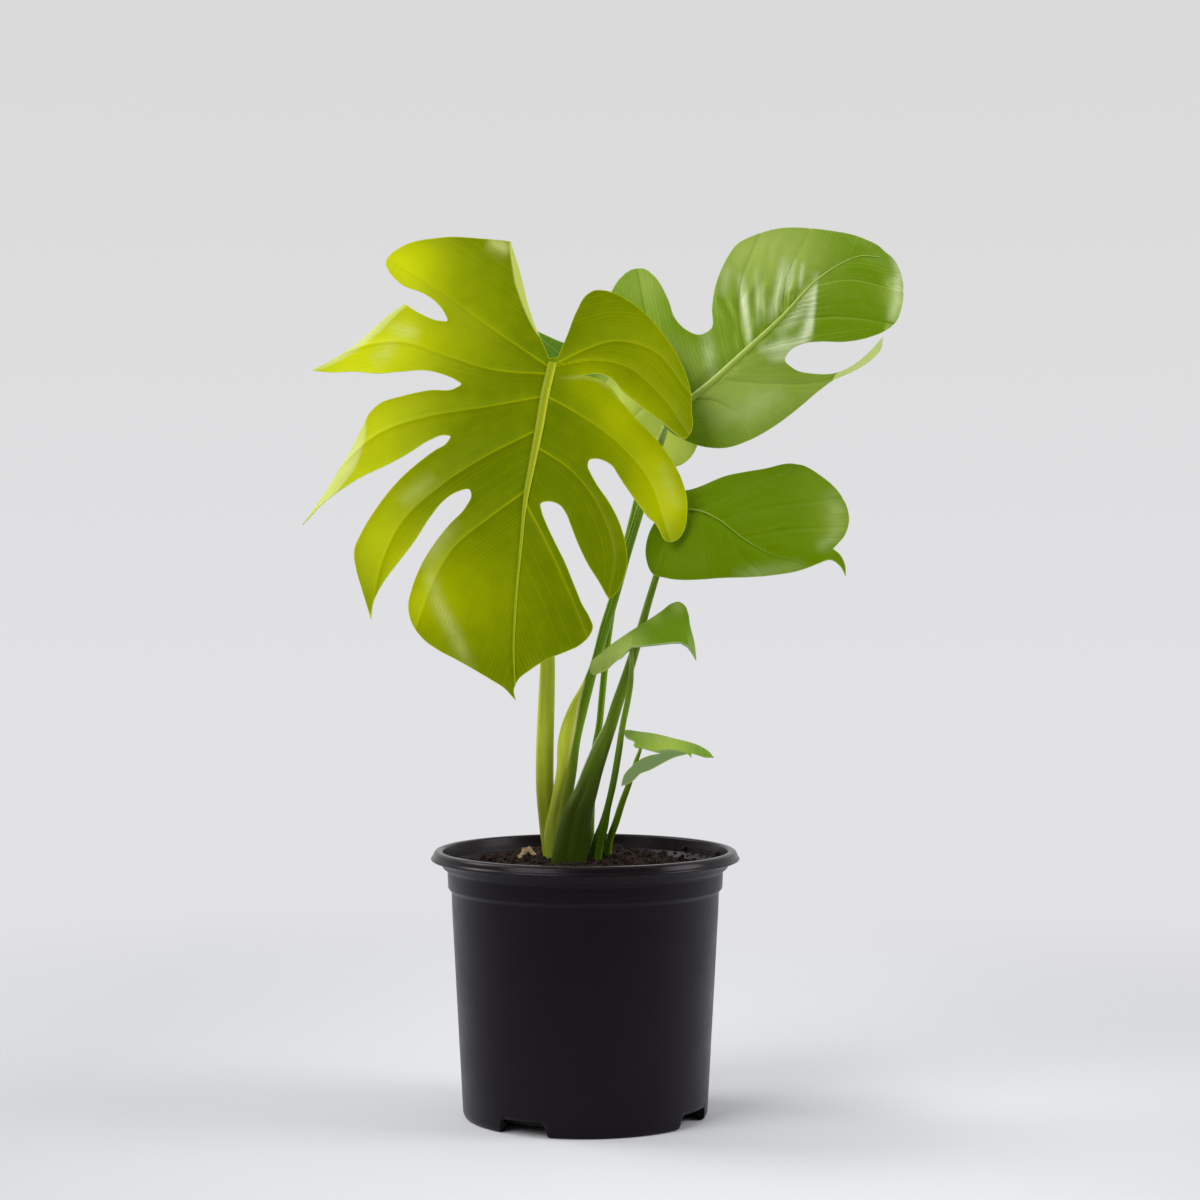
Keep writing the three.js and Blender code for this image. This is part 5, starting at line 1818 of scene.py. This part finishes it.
        # painted light, and painted shade at the tip: x, y, radius and strength
        painted_lighting = ((668, 745, 22, 0.85), (634, 736, 10, 0.1), (707, 752, 9, -0.8))
        return Blade(
            "leaf_lowest", "blade_green", base=(641, 747), toward=(714, 757), depth=-27.0, lean=0.0,
            bow=0.0, back_bow=0.0, left=Half(1.9, 0.01), right=Half(-0.7, 0.004), rib=rib, rib_radius=0.0,
            outline=outline,
            finish=BladeFinish(
                "seedling_leaf", "#6a8f1c", "#a0b83a", "#b0c466", "#a9bd5a", turned="#6f8755",
                roughness=0.4
            ),
            underside=BladeFinish(
                "seedling_leaf_underside", "#7f9f60", "#9ab574", "#b9cf80", "#c5d890", roughness=0.5
            ),
            rib_finish=GREEN_RIB,
            relief=Relief(0.0, wave=0.2), turned=turned, painted_lighting=painted_lighting, grid=1.1,
        )


# ---- the studio -------------------------------------------------------------------------------
@dataclass(frozen=True)
class Softbox:
    """A square soft light: where it hangs, its side and its aim, in metres, and its power in watts."""

    name: str
    place: tuple[float, float, float]
    size: float
    power: float
    aim: tuple[float, float, float] = (0.0, 0.0, 0.35)

    def hang(self) -> None:
        """Adds the light, which faces its aim."""
        data = bpy.data.lights.new(self.name, "AREA")
        data.size, data.energy = self.size, self.power
        lamp = bpy.data.objects.new(self.name, data)
        lamp.location = self.place
        lamp.rotation_euler = (Vector(self.aim) - Vector(self.place)).to_track_quat("-Z", "Y").to_euler()
        bpy.context.scene.collection.objects.link(lamp)


@dataclass
class Studio:
    """A pale seamless floor, soft lights and the air round them.

    The floor's tone runs from paper_middle to paper_painted_shade over the distances tone_run from the
    line at paper_centre, a painted shade on its sides, and the floor fades out over the distances fade
    from the plant, all in metres.
    viewer_light is the share of the room's light that comes from where the viewer stands.
    """

    floor_radius: float = 3.6
    fade: tuple[float, float] = (0.2, 1.5)
    high: str = "#dadada"
    low: str = "#e2e2e5"
    # painted shade: the darker colour of the paper's sides
    paper_painted_shade: str = "#bdbfc3"
    paper_middle: str = "#d3d4d8"
    paper_centre: float = 0.15
    tone_run: tuple[float, float] = (0.15, 0.6)
    viewer_light: float = 0.24
    lights: tuple[Softbox, ...] = (
        Softbox("key_softbox", (-2.1, 0.75, 2.5), 1.4, 42.0),
        Softbox("front_softbox", (-2.0, -2.1, 2.4), 2.2, 78.0),
        Softbox("side_softbox", (2.2, -0.3, 1.3), 1.2, 28.0),
    )

    def build(self) -> None:
        """Lays the floor, hangs the lights and sets the surrounding light."""
        self.lay_floor()
        for light in self.lights:
            light.hang()
        self.surround()
        bpy.context.scene.view_settings.view_transform = "Standard"

    def lay_floor(self) -> None:
        """Makes the floor, which fades into the backdrop so that no horizon shows."""
        bm = bmesh.new()
        bmesh.ops.create_circle(bm, cap_ends=True, segments=96, radius=self.floor_radius)
        finish = Finish("seamless_paper")
        add = finish.add
        place = add(PLACE, output="Object")
        reach = add("ShaderNodeVectorMath", (place,), "Value", operation="LENGTH")
        # painted shade: the paper darkens to each side of a line just right of the plant, standing in for
        # uneven light on the floor
        across = add("ShaderNodeSeparateXYZ", {"Vector": place}, "X")
        aside = add(MATH, (across, self.paper_centre), operation="SUBTRACT")
        aside = add(MATH, (aside,), operation="ABSOLUTE")
        tone = add(RAMP, (aside, *self.tone_run))
        base = add(MIX, {SHARE: tone, FIRST: self.paper_middle, SECOND: self.paper_painted_shade}, **COLOURS)
        solid = add(RAMP, (reach, *self.fade, 1.0, 0.0), **EASED)
        finish.made(Base_Color=base, Roughness=0.85, Alpha=solid, Specular_IOR_Level=0.2)
        finished_piece("floor", bm, [finish.material])

    def surround(self) -> None:
        """Fills the room with even light, dimmer from where the viewer stands."""
        world = bpy.data.worlds.new("room")
        bpy.context.scene.world = world
        world.use_nodes = True
        tree = world.node_tree
        add = partial(add_node, tree)
        place = add(PLACE, output="Generated")
        depth, height = (add("ShaderNodeSeparateXYZ", {"Vector": place}, axis) for axis in "YZ")
        share = add(RAMP, (depth, -1.0, 0.3, self.viewer_light, 1.0))
        seen = add("ShaderNodeLightPath", output="Is Camera Ray")
        strength = add(MATH, (share, seen), operation="MAXIMUM")
        # the backdrop lightens from the top of the view down to the floor
        tone = add(RAMP, (height, -0.08, 0.16))
        tone = add(MIX, {SHARE: tone, FIRST: self.low, SECOND: self.high}, **COLOURS)
        back = tree.nodes["Background"]
        tree.links.new(tone, back.inputs["Color"])
        tree.links.new(strength, back.inputs["Strength"])


def write_sizes() -> None:
    """Updates the view layer."""
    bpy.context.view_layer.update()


def main() -> None:
    """Builds the studio and the plant."""
    logging.basicConfig(level=logging.INFO, format="%(name)s %(message)s")
    VIEW.make_camera()
    pot = Pot()
    pot.build()
    Soil(pot).build()
    Monstera().build()
    Studio().build()
    write_sizes()


if __name__ == "__main__":
    main()
